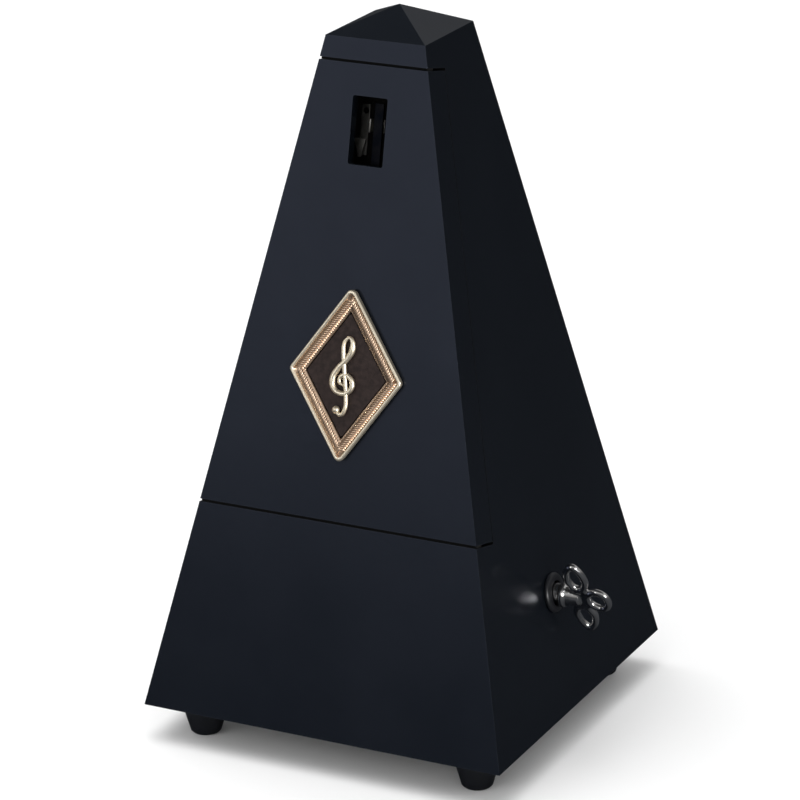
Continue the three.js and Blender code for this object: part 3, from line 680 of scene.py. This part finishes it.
KEY_HOLE_RADIUS = 4 * MM
key_axis = centre_of("winding_arbor")
key_hole = turned([(0, 40 * MM), (KEY_HOLE_RADIUS, 40 * MM), (KEY_HOLE_RADIUS, 60 * MM), (0, 60 * MM)])
hole_place = Matrix.Translation(Vector((0, key_axis.y, key_axis.z - CASE_ORIGIN.z))) @ UPRIGHT_TO_RIGHT
cut_out(case, as_object("key_hole", key_hole, STAINED_WOOD, hole_place))
case.data.transform(IN_CASE)
ease(case, 0.3 * MM)
stand_for(case, "top_cap", "side_panel_left", "side_panel_right", "back_panel", "lower_front_panel")
print("case:", len(case.data.polygons), "faces")

# %% [markdown]
# ## The front cover
#
# The cover is a board with a rim on three sides, and its face continues the faces of the case. It is cut
# from the same outer form with three planes, so the corners line up. The window near its top is a plain
# rectangular opening with slightly rounded corners.

# %% Slice the cover and hollow it
WINDOW_WIDTH = 11.2 * MM
WINDOW_LOW = 170 * MM
WINDOW_HIGH = 190 * MM


def front_point(rise, depth=0.0):
    return IN_CASE.inverted() @ ON_FRONT @ Vector((0, depth, rise))


inwards = (ON_FRONT.to_3x3() @ Vector((0, 1, 0))).normalized()
upwards = (ON_FRONT.to_3x3() @ Vector((0, 0, 1))).normalized()
shell = outer_form()
slice_off(shell, front_point(0, COVER_DEPTH), inwards)
slice_off(shell, front_point(CAP_SEAM - SEAM / 2), upwards)
slice_off(shell, front_point(LOWER_SEAM + SEAM / 2), -upwards)
cover = as_object("lacquered_cover", shell, LACQUER)

hollow = inner_form(RIM, 0, PEAK)
slice_off(hollow, front_point(0, COVER_BOARD), -inwards)
slice_off(hollow, front_point(CAP_SEAM - SEAM / 2 - RIM), upwards)
cut_out(cover, as_object("hollow", hollow, STAINED_WOOD))

window = block(-WINDOW_WIDTH / 2, WINDOW_WIDTH / 2, -OVER, COVER_BOARD + OVER, WINDOW_LOW, WINDOW_HIGH)
through = [edge for edge in window.edges if abs(edge.verts[0].co.y - edge.verts[1].co.y) > MM]
bmesh.ops.bevel(
    window, geom=through, offset=0.6 * MM, offset_type="OFFSET", affect="EDGES", segments=4, profile=0.5,
    material=-1, clamp_overlap=True,
)
cut_out(cover, as_object("window", window, LACQUER, IN_CASE.inverted() @ ON_FRONT))
cover.data.transform(IN_CASE)
ease(cover, 0.3 * MM)
stand_for(cover, "front_cover")
print("cover:", len(cover.data.polygons), "faces")

# %% [markdown]
# ## Felt in the seams
#
# The cover closes against thin strips of black felt, one under the cap and one on the lower panel. They
# stop rattles and daylight. Each is a narrow strip set back from the face, so that only its dark edge
# shows in the seam.

# %% Lay the felt
FELT_SET_BACK = 0.6 * MM
FELT_WIDTH = 3.6 * MM
FELT_THICKNESS = 0.68 * MM


def felt_strip(name, rise, end_gap):
    half = half_width(rise * math.cos(TILT)) - end_gap
    bm = block(-half, half, FELT_SET_BACK, FELT_SET_BACK + FELT_WIDTH, rise, rise + FELT_THICKNESS)
    bmesh.ops.subdivide_edges(bm, edges=bm.edges, cuts=3, use_grid_fill=True)
    strip = ease(as_object(name, bm, FELT, ON_FRONT), 0.1 * MM)
    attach(strip, "case")
    print(name, "is", round(2 * half / MM, 1), "mm long")


felt_strip("seam_felt_upper", CAP_SEAM + SEAM / 2 - FELT_THICKNESS, 0.4 * MM)
felt_strip("seam_felt_lower", LOWER_SEAM - SEAM / 2, 0.4 * MM)

# %% [markdown]
# ## The badge
#
# The badge is a cast rhombus with an outer bead painted brighter as a highlight, a band of slanting ribs and
# a narrow inner step.
# Its section is swept round the rhombus: one ring of points for each point of the section. Bridging the
# rings with an operator laid a sheet across the opening here, so each face is made between the matching
# points of two neighbouring rings instead. The corners of every ring are arcs, tighter towards the inside.

# %% Sweep the frame's section round the rhombus
BADGE_WIDTH = 36.8 * MM
BADGE_HEIGHT = 52.9 * MM
BADGE_RISE = 108.9 * MM
BADGE_BACK = -GAP  # depth of the badge's back, in front of the cover's face
BORDER = 4.3 * MM
BORDER_THICKNESS = 1.9 * MM


def rhombus_corners(inset):
    side = math.hypot(BADGE_WIDTH, BADGE_HEIGHT)
    wide = BADGE_WIDTH / 2 - inset * side / BADGE_HEIGHT
    high = BADGE_HEIGHT / 2 - inset * side / BADGE_WIDTH
    return [Vector((wide, 0)), Vector((0, high)), Vector((-wide, 0)), Vector((0, -high))]


def rounded_loop(corners, radius, steps=6):
    """The corners in order, each replaced by an arc."""
    points = []
    for i, corner in enumerate(corners):
        before = (corners[i - 1] - corner).normalized()
        after = (corners[(i + 1) % len(corners)] - corner).normalized()
        half = before.angle(after) / 2
        middle = corner + (before + after).normalized() * (radius / math.sin(half))
        start = (corner + before * (radius / math.tan(half)) - middle).normalized()
        end = (corner + after * (radius / math.tan(half)) - middle).normalized()
        for k in range(steps + 1):
            points.append(middle + start.slerp(end, k / steps) * radius)
    return points


def ring_of(bm, points, depth):
    return [bm.verts.new((p.x, depth, p.y)) for p in points]


def sweep_rhombus(section, outer_radius):
    """Joins the rounded rhombuses made for each (inset, depth) of a closed section."""
    bm = bmesh.new()
    rings = []
    for inset, depth in section:
        radius = max(outer_radius - inset * 0.4, 0.3 * MM)
        rings.append(ring_of(bm, rounded_loop(rhombus_corners(inset), radius), depth))
    for ring, following in zip(rings, rings[1:] + rings[:1]):
        for k, corner in enumerate(ring):
            bm.faces.new((ring[k - 1], corner, following[k], following[k - 1]))
    bmesh.ops.recalc_face_normals(bm, faces=bm.faces)
    return bm


# %% [markdown]
# ### The badge's border
#
# The section has a half-round bead outside, a flat band and a small step. The bead's faces take a second
# material, chosen by how far out they lie: a paler, brighter gilt that is a painted highlight.

# %% The badge's border
FRONT_OF_BADGE = BADGE_BACK - BORDER_THICKNESS
BEAD = 1.05 * MM  # width of the bright outer bead
BEAD_SHARE = 1 - BEAD * math.hypot(BADGE_WIDTH, BADGE_HEIGHT) / (BADGE_WIDTH / 2 * BADGE_HEIGHT)
STEP = 0.35 * MM  # width of the inner step
BAND_DEPTH = FRONT_OF_BADGE + 0.55 * MM
bead_arc = [
    (BEAD / 2 * (1 - math.cos(a)), BAND_DEPTH - 0.55 * MM * math.sin(a))
    for a in (math.pi * k / 8 for k in range(9))
]
section = [(0.15 * MM, BADGE_BACK), *bead_arc, (BORDER - STEP, BAND_DEPTH),
           (BORDER - STEP / 2, BAND_DEPTH + 0.1 * MM), (BORDER, BAND_DEPTH + 0.3 * MM), (BORDER, BADGE_BACK)]
place_of_badge = ON_FRONT @ Matrix.Translation((0, 0, BADGE_RISE))
badge_frame = as_object("gilt_badge_frame", sweep_rhombus(section, 1.6 * MM), GILT, place_of_badge)
badge_frame.data.materials.append(GILT_PAINTED_HIGHLIGHT)
for face in badge_frame.data.polygons:
    spot = place_of_badge.inverted() @ face.center
    share = abs(spot.x) / (BADGE_WIDTH / 2) + abs(spot.z) / (BADGE_HEIGHT / 2)
    face.material_index = int(share > BEAD_SHARE)
stand_for(badge_frame, "badge_frame")
print("badge frame:", len(badge_frame.data.polygons), "faces")

# %% [markdown]
# The ribs on the band are short half-round bars that lean across it, like the strands of a rope. One rib
# has only a few faces, and a loop sets a row of them along each side of the rhombus.

# %% The ribs
RIB_PITCH = 0.78 * MM
RIB_LEAN = math.radians(38)


def add_rib(bm, centre, angle, length, width, height):
    """Half a cylinder with its flat side on the band and its ends drawn in."""
    made = bmesh.ops.create_cone(
        bm, cap_ends=True, segments=8, radius1=width / 2, radius2=width / 2, depth=length,
    )["verts"]
    lie_down = Matrix.Rotation(math.pi / 2, 4, "Y")
    flatten = Matrix.Diagonal((1, 2 * height / width, 1, 1))
    turn = Matrix.Rotation(-angle, 4, "Y")
    bmesh.ops.transform(bm, matrix=Matrix.Translation(centre) @ turn @ flatten @ lie_down, verts=made)


def ribs_along(bm, start, end):
    side = end - start
    count = int(side.length / RIB_PITCH)
    across = Vector((-side.y, side.x)).normalized()
    angle = math.atan2(across.y, across.x) + RIB_LEAN
    for k in range(count):
        spot = start + side * ((k + 0.5) / count)
        add_rib(bm, (spot.x, BAND_DEPTH, spot.y), angle, RIB_LENGTH, RIB_PITCH * 0.92, 0.22 * MM)


RIB_LENGTH = (BORDER - BEAD - STEP) / math.cos(RIB_LEAN) * 0.86
middle_of_band = rhombus_corners((BEAD + BORDER - STEP) / 2)
ribs = bmesh.new()
for i, corner in enumerate(middle_of_band):
    ribs_along(ribs, corner, middle_of_band[(i + 1) % 4])
badge_ribs = as_object("gilt_badge_ribs", ribs, GILT, place_of_badge)
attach(badge_ribs, "cover")
print("ribs:", len(badge_ribs.data.polygons), "faces")

# %% [markdown]
# The field is a thin enamelled plate that lies inside the border, a little below it. Its outline is one
# face, extruded to the plate's thickness and eased along its front edge.

# %% The field
FIELD_FRONT = -1.1 * MM
FIELD_CORNER = 0.6 * MM
field = bmesh.new()
outline = rounded_loop(rhombus_corners(BORDER + GAP), FIELD_CORNER)
back_face = field.faces.new(ring_of(field, outline, BADGE_BACK))
grown = bmesh.ops.extrude_face_region(field, geom=[back_face])["geom"]
front_corners = [made for made in grown if isinstance(made, bmesh.types.BMVert)]
bmesh.ops.translate(field, verts=front_corners, vec=(0, FIELD_FRONT - BADGE_BACK, 0))
bmesh.ops.recalc_face_normals(field, faces=field.faces)
badge_field = ease(as_object("enamelled_field", field, ENAMEL, place_of_badge), 0.12 * MM)
stand_for(badge_field, "badge_field")

# %% [markdown]
# ### The clef
#
# The relief is two strokes of changing thickness with small balls at their ends. A curve with a bevel
# draws a round wire whose radius follows the stroke, and it becomes a mesh before it is placed.

# %% The clef
CLEF_UNIT = 3.7 * MM
CLEF_SHIFT = 0.5
CLEF_DEPTH = -2.0 * MM
CLEF_WIRE = 0.8 * MM  # radius of a stroke where its thickness is CLEF_SWELL
CLEF_SWELL = 1.2
CLEF_STRETCH = 1.05
CURL = [
    (0.05, -0.3, 0.5), (-0.42, 0, 0.8), (-0.2, 0.52, 0.9), (0.35, 0.5, 1.0), (0.72, -0.05, 1.2),
    (0.45, -0.7, 1.1), (-0.2, -0.92, 1.1), (-0.85, -0.6, 1.3), (-1.02, 0.15, 1.5), (-0.6, 1.05, 1.3),
    (0.1, 1.85, 1.2), (0.5, 2.7, 1.4), (0.35, 3.45, 0.9), (0.08, 3.6, 0.6),
]
STEM = [
    (0.08, 3.6, 0.6), (-0.25, 3.1, 0.9), (-0.25, 2.3, 1.1), (0, 0.6, 1.0), (0.27, -1.3, 1.0),
    (0.25, -2.1, 1.0), (-0.1, -2.6, 0.9), (-0.55, -2.35, 0.9),
]
STROKE_ENDS = [(-0.52, -2.25, 1.15 * MM), (0.05, -0.3, 0.5 * MM), (0.08, 3.6, 0.36 * MM)]


def wire_mesh(knots, radius, closed=False, smoothness=6):
    """A bmesh of a round wire through (x, z, thickness) knots."""
    curve = bpy.data.curves.new("wire", "CURVE")
    curve.dimensions = "3D"
    curve.bevel_depth = radius
    curve.bevel_resolution = 3
    curve.use_fill_caps = not closed
    spline = curve.splines.new("BEZIER")
    spline.bezier_points.add(len(knots) - 1)
    spline.use_cyclic_u = closed
    spline.resolution_u = smoothness
    for knot, (x, z, thickness) in zip(spline.bezier_points, knots):
        knot.co = (x, 0, z)
        knot.radius = thickness
        knot.handle_left_type = knot.handle_right_type = "AUTO"
    drawn = bpy.data.objects.new("wire", curve)
    scene.collection.objects.link(drawn)
    mesh = bpy.data.meshes.new_from_object(drawn.evaluated_get(bpy.context.evaluated_depsgraph_get()))
    bm = bmesh.new()
    bm.from_mesh(mesh)
    bmesh.ops.remove_doubles(bm, verts=bm.verts, dist=MM / 1000)
    bpy.data.objects.remove(drawn)
    bpy.data.curves.remove(curve)
    bpy.data.meshes.remove(mesh)
    return bm


def add_bmesh(target, extra):
    mesh = bpy.data.meshes.new("part")
    extra.to_mesh(mesh)
    extra.free()
    target.from_mesh(mesh)
    bpy.data.meshes.remove(mesh)


clef = bmesh.new()
for knots in (CURL, STEM):
    scaled = [(x * CLEF_UNIT, (z - CLEF_SHIFT) * CLEF_UNIT, thick) for x, z, thick in knots]
    add_bmesh(clef, wire_mesh(scaled, CLEF_WIRE / CLEF_SWELL))
for x, z, radius in STROKE_ENDS:
    ball = bmesh.ops.create_uvsphere(clef, u_segments=20, v_segments=12, radius=radius)["verts"]
    bmesh.ops.translate(clef, verts=ball, vec=(x * CLEF_UNIT, 0, (z - CLEF_SHIFT) * CLEF_UNIT))
bmesh.ops.scale(clef, verts=clef.verts, vec=(1, CLEF_STRETCH, 1))
bmesh.ops.translate(clef, verts=clef.verts, vec=(0, CLEF_DEPTH, 0))
# The clef takes the brighter gilt, which is a painted highlight.
badge_clef = as_object("gilt_clef", clef, GILT_PAINTED_HIGHLIGHT, place_of_badge)
stand_for(badge_clef, "badge_clef")
print("clef:", len(badge_clef.data.polygons), "faces")

# %% [markdown]
# ## The winding key
#
# The key is cast in one piece: a stem with a collar, and a blade of three open petals. The petals are
# closed wires and the stem is turned. They are joined by a voxel remesh and smoothed a little, which
# leaves the soft fillets of a casting where the wires meet.

# %% Cast the key
KEY_TURN = math.radians(30)  # the blade leans from upright, its top towards the front
KEY_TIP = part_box("winding_key")[1].x - CASE_ORIGIN.x  # from the case's axis to the outer petal's tip
PETAL_WIRE = 1.15 * MM

WING_START = 60.6  # mm from the case's axis to the middle of the two wings
OUTER_PETAL_REACH = 4.75  # mm from the outer petal's middle to its tip, with its wire

STEM_PROFILE = [
    (1.9, 50), (3.1, 50), (3.2, 50.4), (3.2, 54.2), (3.9, 54.8), (3.9, 55.8), (3.2, 56.3), (2.4, 60.5),
    (0, 61.2), (0, 57), (1.9, 57),
]
WING = [
    (0, 3.6, 1.1), (2.6, 6.4, 1.0), (2.7, 9.8, 0.95), (1.3, 13.2, 0.95), (0, 14.2, 1.0),
    (-1.3, 13.2, 0.95), (-2.7, 9.8, 0.95), (-2.6, 6.4, 1.0),
]
OUTER_PETAL = [
    (-3.0, 0, 1.0), (-1.6, 2.9, 1.0), (1.6, 3.5, 0.95), (3.6, 0, 1.0), (1.6, -3.5, 0.95), (-1.6, -2.9, 1.0),
]


def petal(knots, outwards, flip=1):
    points = [((x + outwards) * MM, z * flip * MM, thick) for x, z, thick in knots]
    bm = wire_mesh(points, PETAL_WIRE, closed=True)
    bmesh.ops.recalc_face_normals(bm, faces=bm.faces)
    return bm


key = bmesh.new()
stem_mesh = turned([(radius * MM, along * MM) for radius, along in STEM_PROFILE])
bmesh.ops.transform(stem_mesh, matrix=UPRIGHT_TO_RIGHT, verts=stem_mesh.verts)
add_bmesh(key, stem_mesh)
tip_petal = petal(OUTER_PETAL, KEY_TIP / MM - OUTER_PETAL_REACH)
for part in (petal(WING, WING_START), petal(WING, WING_START, -1), tip_petal):
    add_bmesh(key, part)
add_bmesh(key, block(58 * MM, 63 * MM, -MM, MM, -4.6 * MM, 4.6 * MM))
key_place = Matrix.Translation((CASE_ORIGIN.x, key_axis.y, key_axis.z)) @ Matrix.Rotation(KEY_TURN, 4, "X")
winding_key = as_object("nickel_key", key, NICKEL, key_place)
remesh = winding_key.modifiers.new("cast", "REMESH")
remesh.mode = "VOXEL"
remesh.voxel_size = 0.28 * MM
soften = winding_key.modifiers.new("soften", "SMOOTH")
soften.iterations = 3
settle(winding_key)
winding_key.data.shade_smooth()
stand_for(winding_key, "winding_key")
print("key:", len(winding_key.data.polygons), "faces")

# %% [markdown]
# ## Feet and escutcheon
#
# Both are turned, so a profile spun round an axis is the whole shape. The foot is a small black cup that
# narrows downwards. The escutcheon lies on the leaning side panel with its hole along the level arbor.

# %% Turn the feet
FOOT_HEIGHT = CASE_ORIGIN.z
FOOT_PROFILE = [
    (0, -11.5), (3.6, -11.5), (4.2, -11.3), (4.7, -10.8), (5.5, -8.0), (6.35, -5.0), (6.85, -2.4),
    (6.98, -1.2), (6.9, -0.6), (6.5, -0.3), (1.6, -0.3), (1.6, -8.3), (0, -8.3),
]
for where in ("front_left", "front_right", "back_left", "back_right"):
    middle = centre_of(f"foot_{where}")
    spot = Matrix.Translation((middle.x, middle.y, FOOT_HEIGHT))
    cup = turned([(radius * MM, height * MM) for radius, height in FOOT_PROFILE])
    foot = as_object(f"turned_foot_{where}", cup, BLACK_PLASTIC, spot)
    ease(foot, 0.15 * MM, 2, 25)
    stand_for(foot, f"foot_{where}")
print("foot:", len(foot.data.polygons), "faces")

# %% [markdown]
# ### The escutcheon
#
# The ring is turned flat and then laid on the leaning side panel. Its hole is cut along the level arbor,
# because a hole turned with the ring would lean with the panel and touch the arbor.

# %% Turn the escutcheon
ESCUTCHEON_PROFILE = [(0, 0.3), (6.0, 0.3), (6.0, 0.8), (5.7, 1.2), (5.2, 1.45), (4.4, 1.5), (0, 1.5)]
ARBOR_HOLE_RADIUS = 3.8 * MM
rise_of_key = (key_axis.z - CASE_ORIGIN.z) / math.cos(TILT)
ring = turned([(radius * MM, depth * MM) for radius, depth in ESCUTCHEON_PROFILE])
face_out = Matrix.Rotation(math.pi / 2, 4, "X")
ring_place = ON_RIGHT @ Matrix.Translation((key_axis.y, 0, rise_of_key)) @ face_out
escutcheon = as_object("turned_escutcheon", ring, BLACK_PLASTIC, ring_place)
arbor_hole = turned([(0, 40 * MM), (ARBOR_HOLE_RADIUS, 40 * MM), (ARBOR_HOLE_RADIUS, 70 * MM), (0, 70 * MM)])
arbor_place = Matrix.Translation((CASE_ORIGIN.x, key_axis.y, key_axis.z)) @ UPRIGHT_TO_RIGHT
cut_out(escutcheon, as_object("arbor_hole", arbor_hole, BLACK_PLASTIC, arbor_place))
ease(escutcheon, 0.15 * MM, 2, 25)
stand_for(escutcheon, "key_escutcheon")

# %% [markdown]
# ## The scale
#
# The printed plate behind the pendulum carries the usual tempo numbers in two columns, slow at the top.
# The numbers are text, made a mesh and laid on the plate, and each has a ruled line towards the rod.

# %% Print the numbers
PLATE_DEPTH = 10.7 * MM
PLATE_BOTTOM = LOWER_SEAM + 9 * MM
PLATE_TOP = 166 * MM
PLATE_MARGIN = 4 * MM  # from the plate's ends to the first and last number
NUMBER_SIZE = 2.7 * MM
NUMBER_OFFSET = 7.6 * MM  # from the middle of the plate to the middle of a number
RULE_FROM = 2.2 * MM
RULE_TO = 4.8 * MM
RULE_HALF = 0.1 * MM
tempos = [*range(40, 60, 2), *range(60, 72, 3), *range(72, 120, 4), *range(120, 144, 6), *range(144, 209, 8)]


def number_mesh(number, size):
    text = bpy.data.curves.new("number", "FONT")
    text.body = str(number)
    text.size = size
    text.align_x = "CENTER"
    text.align_y = "CENTER"
    text.resolution_u = 2
    text.extrude = 0.015 * MM
    written = bpy.data.objects.new("number", text)
    scene.collection.objects.link(written)
    mesh = bpy.data.meshes.new_from_object(written.evaluated_get(bpy.context.evaluated_depsgraph_get()))
    bm = bmesh.new()
    bm.from_mesh(mesh)
    bmesh.ops.rotate(bm, verts=bm.verts, cent=(0, 0, 0), matrix=Matrix.Rotation(math.pi / 2, 3, "X"))
    bpy.data.objects.remove(written)
    bpy.data.curves.remove(text)
    bpy.data.meshes.remove(mesh)
    return bm


printing = bmesh.new()
face_of_plate = PLATE_DEPTH - 0.02 * MM
for k, tempo in enumerate(tempos):
    span = PLATE_TOP - PLATE_BOTTOM - 2 * PLATE_MARGIN
    rise = PLATE_TOP - PLATE_MARGIN - k * span / (len(tempos) - 1)
    side = -1 if k % 2 == 0 else 1
    digits = number_mesh(tempo, NUMBER_SIZE)
    bmesh.ops.translate(digits, verts=digits.verts, vec=(side * NUMBER_OFFSET, face_of_plate, rise))
    add_bmesh(printing, digits)
    start, end = sorted((side * RULE_FROM, side * RULE_TO))
    rule = block(start, end, face_of_plate - MM / 100, face_of_plate, rise - RULE_HALF, rise + RULE_HALF)
    add_bmesh(printing, rule)
scale_printing = as_object("scale_printing", printing, PRINT, ON_FRONT)
scale_printing.data.shade_flat()
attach(scale_printing, "case")
print(len(tempos), "tempos,", len(scale_printing.data.polygons), "faces")

# %% [markdown]
# ## Machined and stamped pieces
#
# The boards, the plates and wheels of the movement, the rod and its weight already have their true shape
# in the CAD model. A merged copy of each gets eased edges and its metal, and is shown in its place. The
# CAD node itself stays as it is.

# %% Copy and ease the CAD pieces
def machined(node, material, width, angle=35):
    bm = bmesh.new()
    bm.from_mesh(frame["nodes"][node].data)
    bmesh.ops.remove_doubles(bm, verts=bm.verts, dist=MM / 1000)
    bmesh.ops.dissolve_limit(bm, angle_limit=math.radians(1), verts=bm.verts, edges=bm.edges)
    copy = as_object(f"{node}_finished", bm, material)
    ease(copy, width, 2, angle)
    return stand_for(copy, node)


finishes = [
    (STAINED_WOOD, 0.3 * MM, ["base_board", "scale_board"]),
    (SCALE_PAINT, 0.1 * MM, ["scale_plate"]),
    (DULL_NICKEL, 0.12 * MM, ["rod_clip"]),
    # The rod takes the nearly black steel, which is painted shade.
    (ROD_STEEL_PAINTED_SHADE, 0.15 * MM, ["pendulum_rod"]),
    (BRASS, 0.12 * MM, ["movement_plate_left", "movement_plate_right", "front_bridge", "rear_cock",
                        "rod_hub", "mainspring_barrel", "barrel_lid"]),
    (BRASS, 0.05 * MM, ["great_wheel", "middle_wheel", "escape_wheel"]),
    (STEEL, 0.15 * MM, ["cover_tabs", "catch_peg", "pendulum_arbor", "winding_arbor", "click",
                        "pillar_1", "pillar_2", "pillar_3"]),
    (STEEL, 0.08 * MM, ["plate_screw_1", "plate_screw_2", "plate_screw_3", "click_screw",
                        "foot_screw_front_left", "foot_screw_front_right",
                        "foot_screw_back_left", "foot_screw_back_right"]),
    (STEEL, 0.04 * MM, ["pallet_front", "pallet_rear", "ratchet_wheel", "middle_pinion", "escape_pinion",
                        "middle_arbor", "escape_arbor", "weight_spring", "click_spring", "mainspring"]),
    (NICKEL, 0.35 * MM, ["sliding_weight"]),
    (CAST_METAL, 0.5 * MM, ["pendulum_bob"]),
]
for material, width, nodes in finishes:
    for node in nodes:
        machined(node, material, width)
left_over = [name for name, node in frame["nodes"].items() if not node.hide_render]
print("CAD nodes still shown:", left_over or "none")

# %% [markdown]
# ## Floor, light and camera
#
# The floor is plain and pale, and the room itself is bright. The floor is dark in reflections, so that
# the lacquer mirrors a dark table top and stays black.

# %% Floor
bpy.ops.mesh.primitive_plane_add(size=40)
floor = bpy.context.object
floor.name = "floor"
floor_material, floor_tree, floor_shader = start_material("floor", Roughness=0.9, Specular_IOR_Level=0.0)
mirrored = place_node(floor_tree, "ShaderNodeLightPath").outputs["Is Glossy Ray"]
pale = blend_colour(floor_tree, mirrored, (0.93, 0.93, 0.93), (0.05, 0.053, 0.058))
floor_tree.links.new(pale, floor_shader.inputs["Base Color"])
floor.data.materials.append(floor_material)
floor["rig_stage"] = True

# %% [markdown]
# ### The camera
#
# The camera stands far away and slightly above, so that the tapering sides hardly converge by
# perspective. Its place is worked out from its angles, its distance and the point it looks at.

# %% Camera
AZIMUTH = math.radians(26.58)
ELEVATION = math.radians(19.75)
ROLL = math.radians(-0.63)
DISTANCE = 9.628 * BASE
AIM = CASE_ORIGIN + Vector((0, 0, BASE))
OFFSET = Vector((0.007, 0.247)) * BASE
LENS = 171.9

ground = Vector((math.sin(AZIMUTH), -math.cos(AZIMUTH), 0))
back = ground * math.cos(ELEVATION) + Vector((0, 0, math.sin(ELEVATION)))
level = Vector((0, 0, 1)).cross(back).normalized()
turn = Matrix.Rotation(ROLL, 3, back)
right = turn @ level
up = back.cross(right)
camera_data = bpy.data.cameras.new("camera")
camera_data.lens = LENS
camera = bpy.data.objects.new("camera", camera_data)
scene.collection.objects.link(camera)
pose = Matrix((right, up, back)).transposed().to_4x4()
pose.translation = AIM + back * DISTANCE - right * OFFSET.x - up * OFFSET.y
camera.matrix_world = pose
scene.camera = camera


# %% [markdown]
# ### The lights
#
# A large soft light stands to the front left. A small bright one to the right is seen only in
# reflections, and one above lights the top without being mirrored in it.

# %% Lights
def soft_light(name, place, size, brightness):
    """A rectangle of a given brightness, facing the metronome."""
    light = bpy.data.lights.new(name, "AREA")
    light.shape = "RECTANGLE"
    light.size, light.size_y = size
    light.energy = brightness * math.pi * size[0] * size[1]
    lamp = bpy.data.objects.new(name, light)
    scene.collection.objects.link(lamp)
    lamp.location = place
    towards = Vector(place) - AIM
    lamp.rotation_euler = towards.to_track_quat("Z", "Y").to_euler()
    return lamp


soft_light("front_left", (-0.75, -1.55, 0.62), (1.1, 1.1), 1.7)
soft_light("right_strip", (1.59, -0.84, 0.265), (0.3, 0.14), 240).visible_diffuse = False
soft_light("overhead", (-0.3, -0.2, 1.9), (1.6, 1.6), 2.6).visible_glossy = False


# %% [markdown]
# ### The room
#
# A white room keeps the background clean, but mirrored in black lacquer it would turn the case grey.
# The room is therefore white to the camera and dimmer to reflections, brightest in a band halfway up.

# %% The room
def light_the_room():
    """White round the metronome, and dimmer in reflections, where a band halfway up is brightest."""
    world = bpy.data.worlds.new("studio")
    scene.world = world
    world.use_nodes = True
    tree = world.node_tree
    direction = place_node(tree, "ShaderNodeTexCoord").outputs["Generated"]
    up = place_node(tree, "ShaderNodeSeparateXYZ", [(0, direction)]).outputs["Z"]
    rising = remap(tree, up, 0.0, 0.5, 0.05, 0.42)
    ceiling = calculate(tree, "MULTIPLY", rising, remap(tree, up, 0.6, 0.85, 1.0, 0.08))
    mirrored = place_node(tree, "ShaderNodeLightPath").outputs["Is Glossy Ray"]
    strength = place_node(tree, "ShaderNodeMix", [("Factor", mirrored), (2, 0.8), (3, ceiling)])
    background = tree.nodes["Background"]
    background.inputs["Color"].default_value = (1, 1, 1, 1)
    tree.links.new(strength.outputs[0], background.inputs["Strength"])


light_the_room()
scene.view_settings.view_transform = "Standard"

# %% [markdown]
# ## Sizes
#
# The visual model has to keep the CAD model's size, so both boxes are written down and compared.

# %% Compare the boxes and finish
visual_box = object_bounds()
for axis in range(3):
    grown = [(visual_box[i][axis] - cad_box[i][axis]) / MM for i in (0, 1)]
    print("xyz"[axis], "low and high corner differ by", [round(value, 3) for value in grown], "mm")
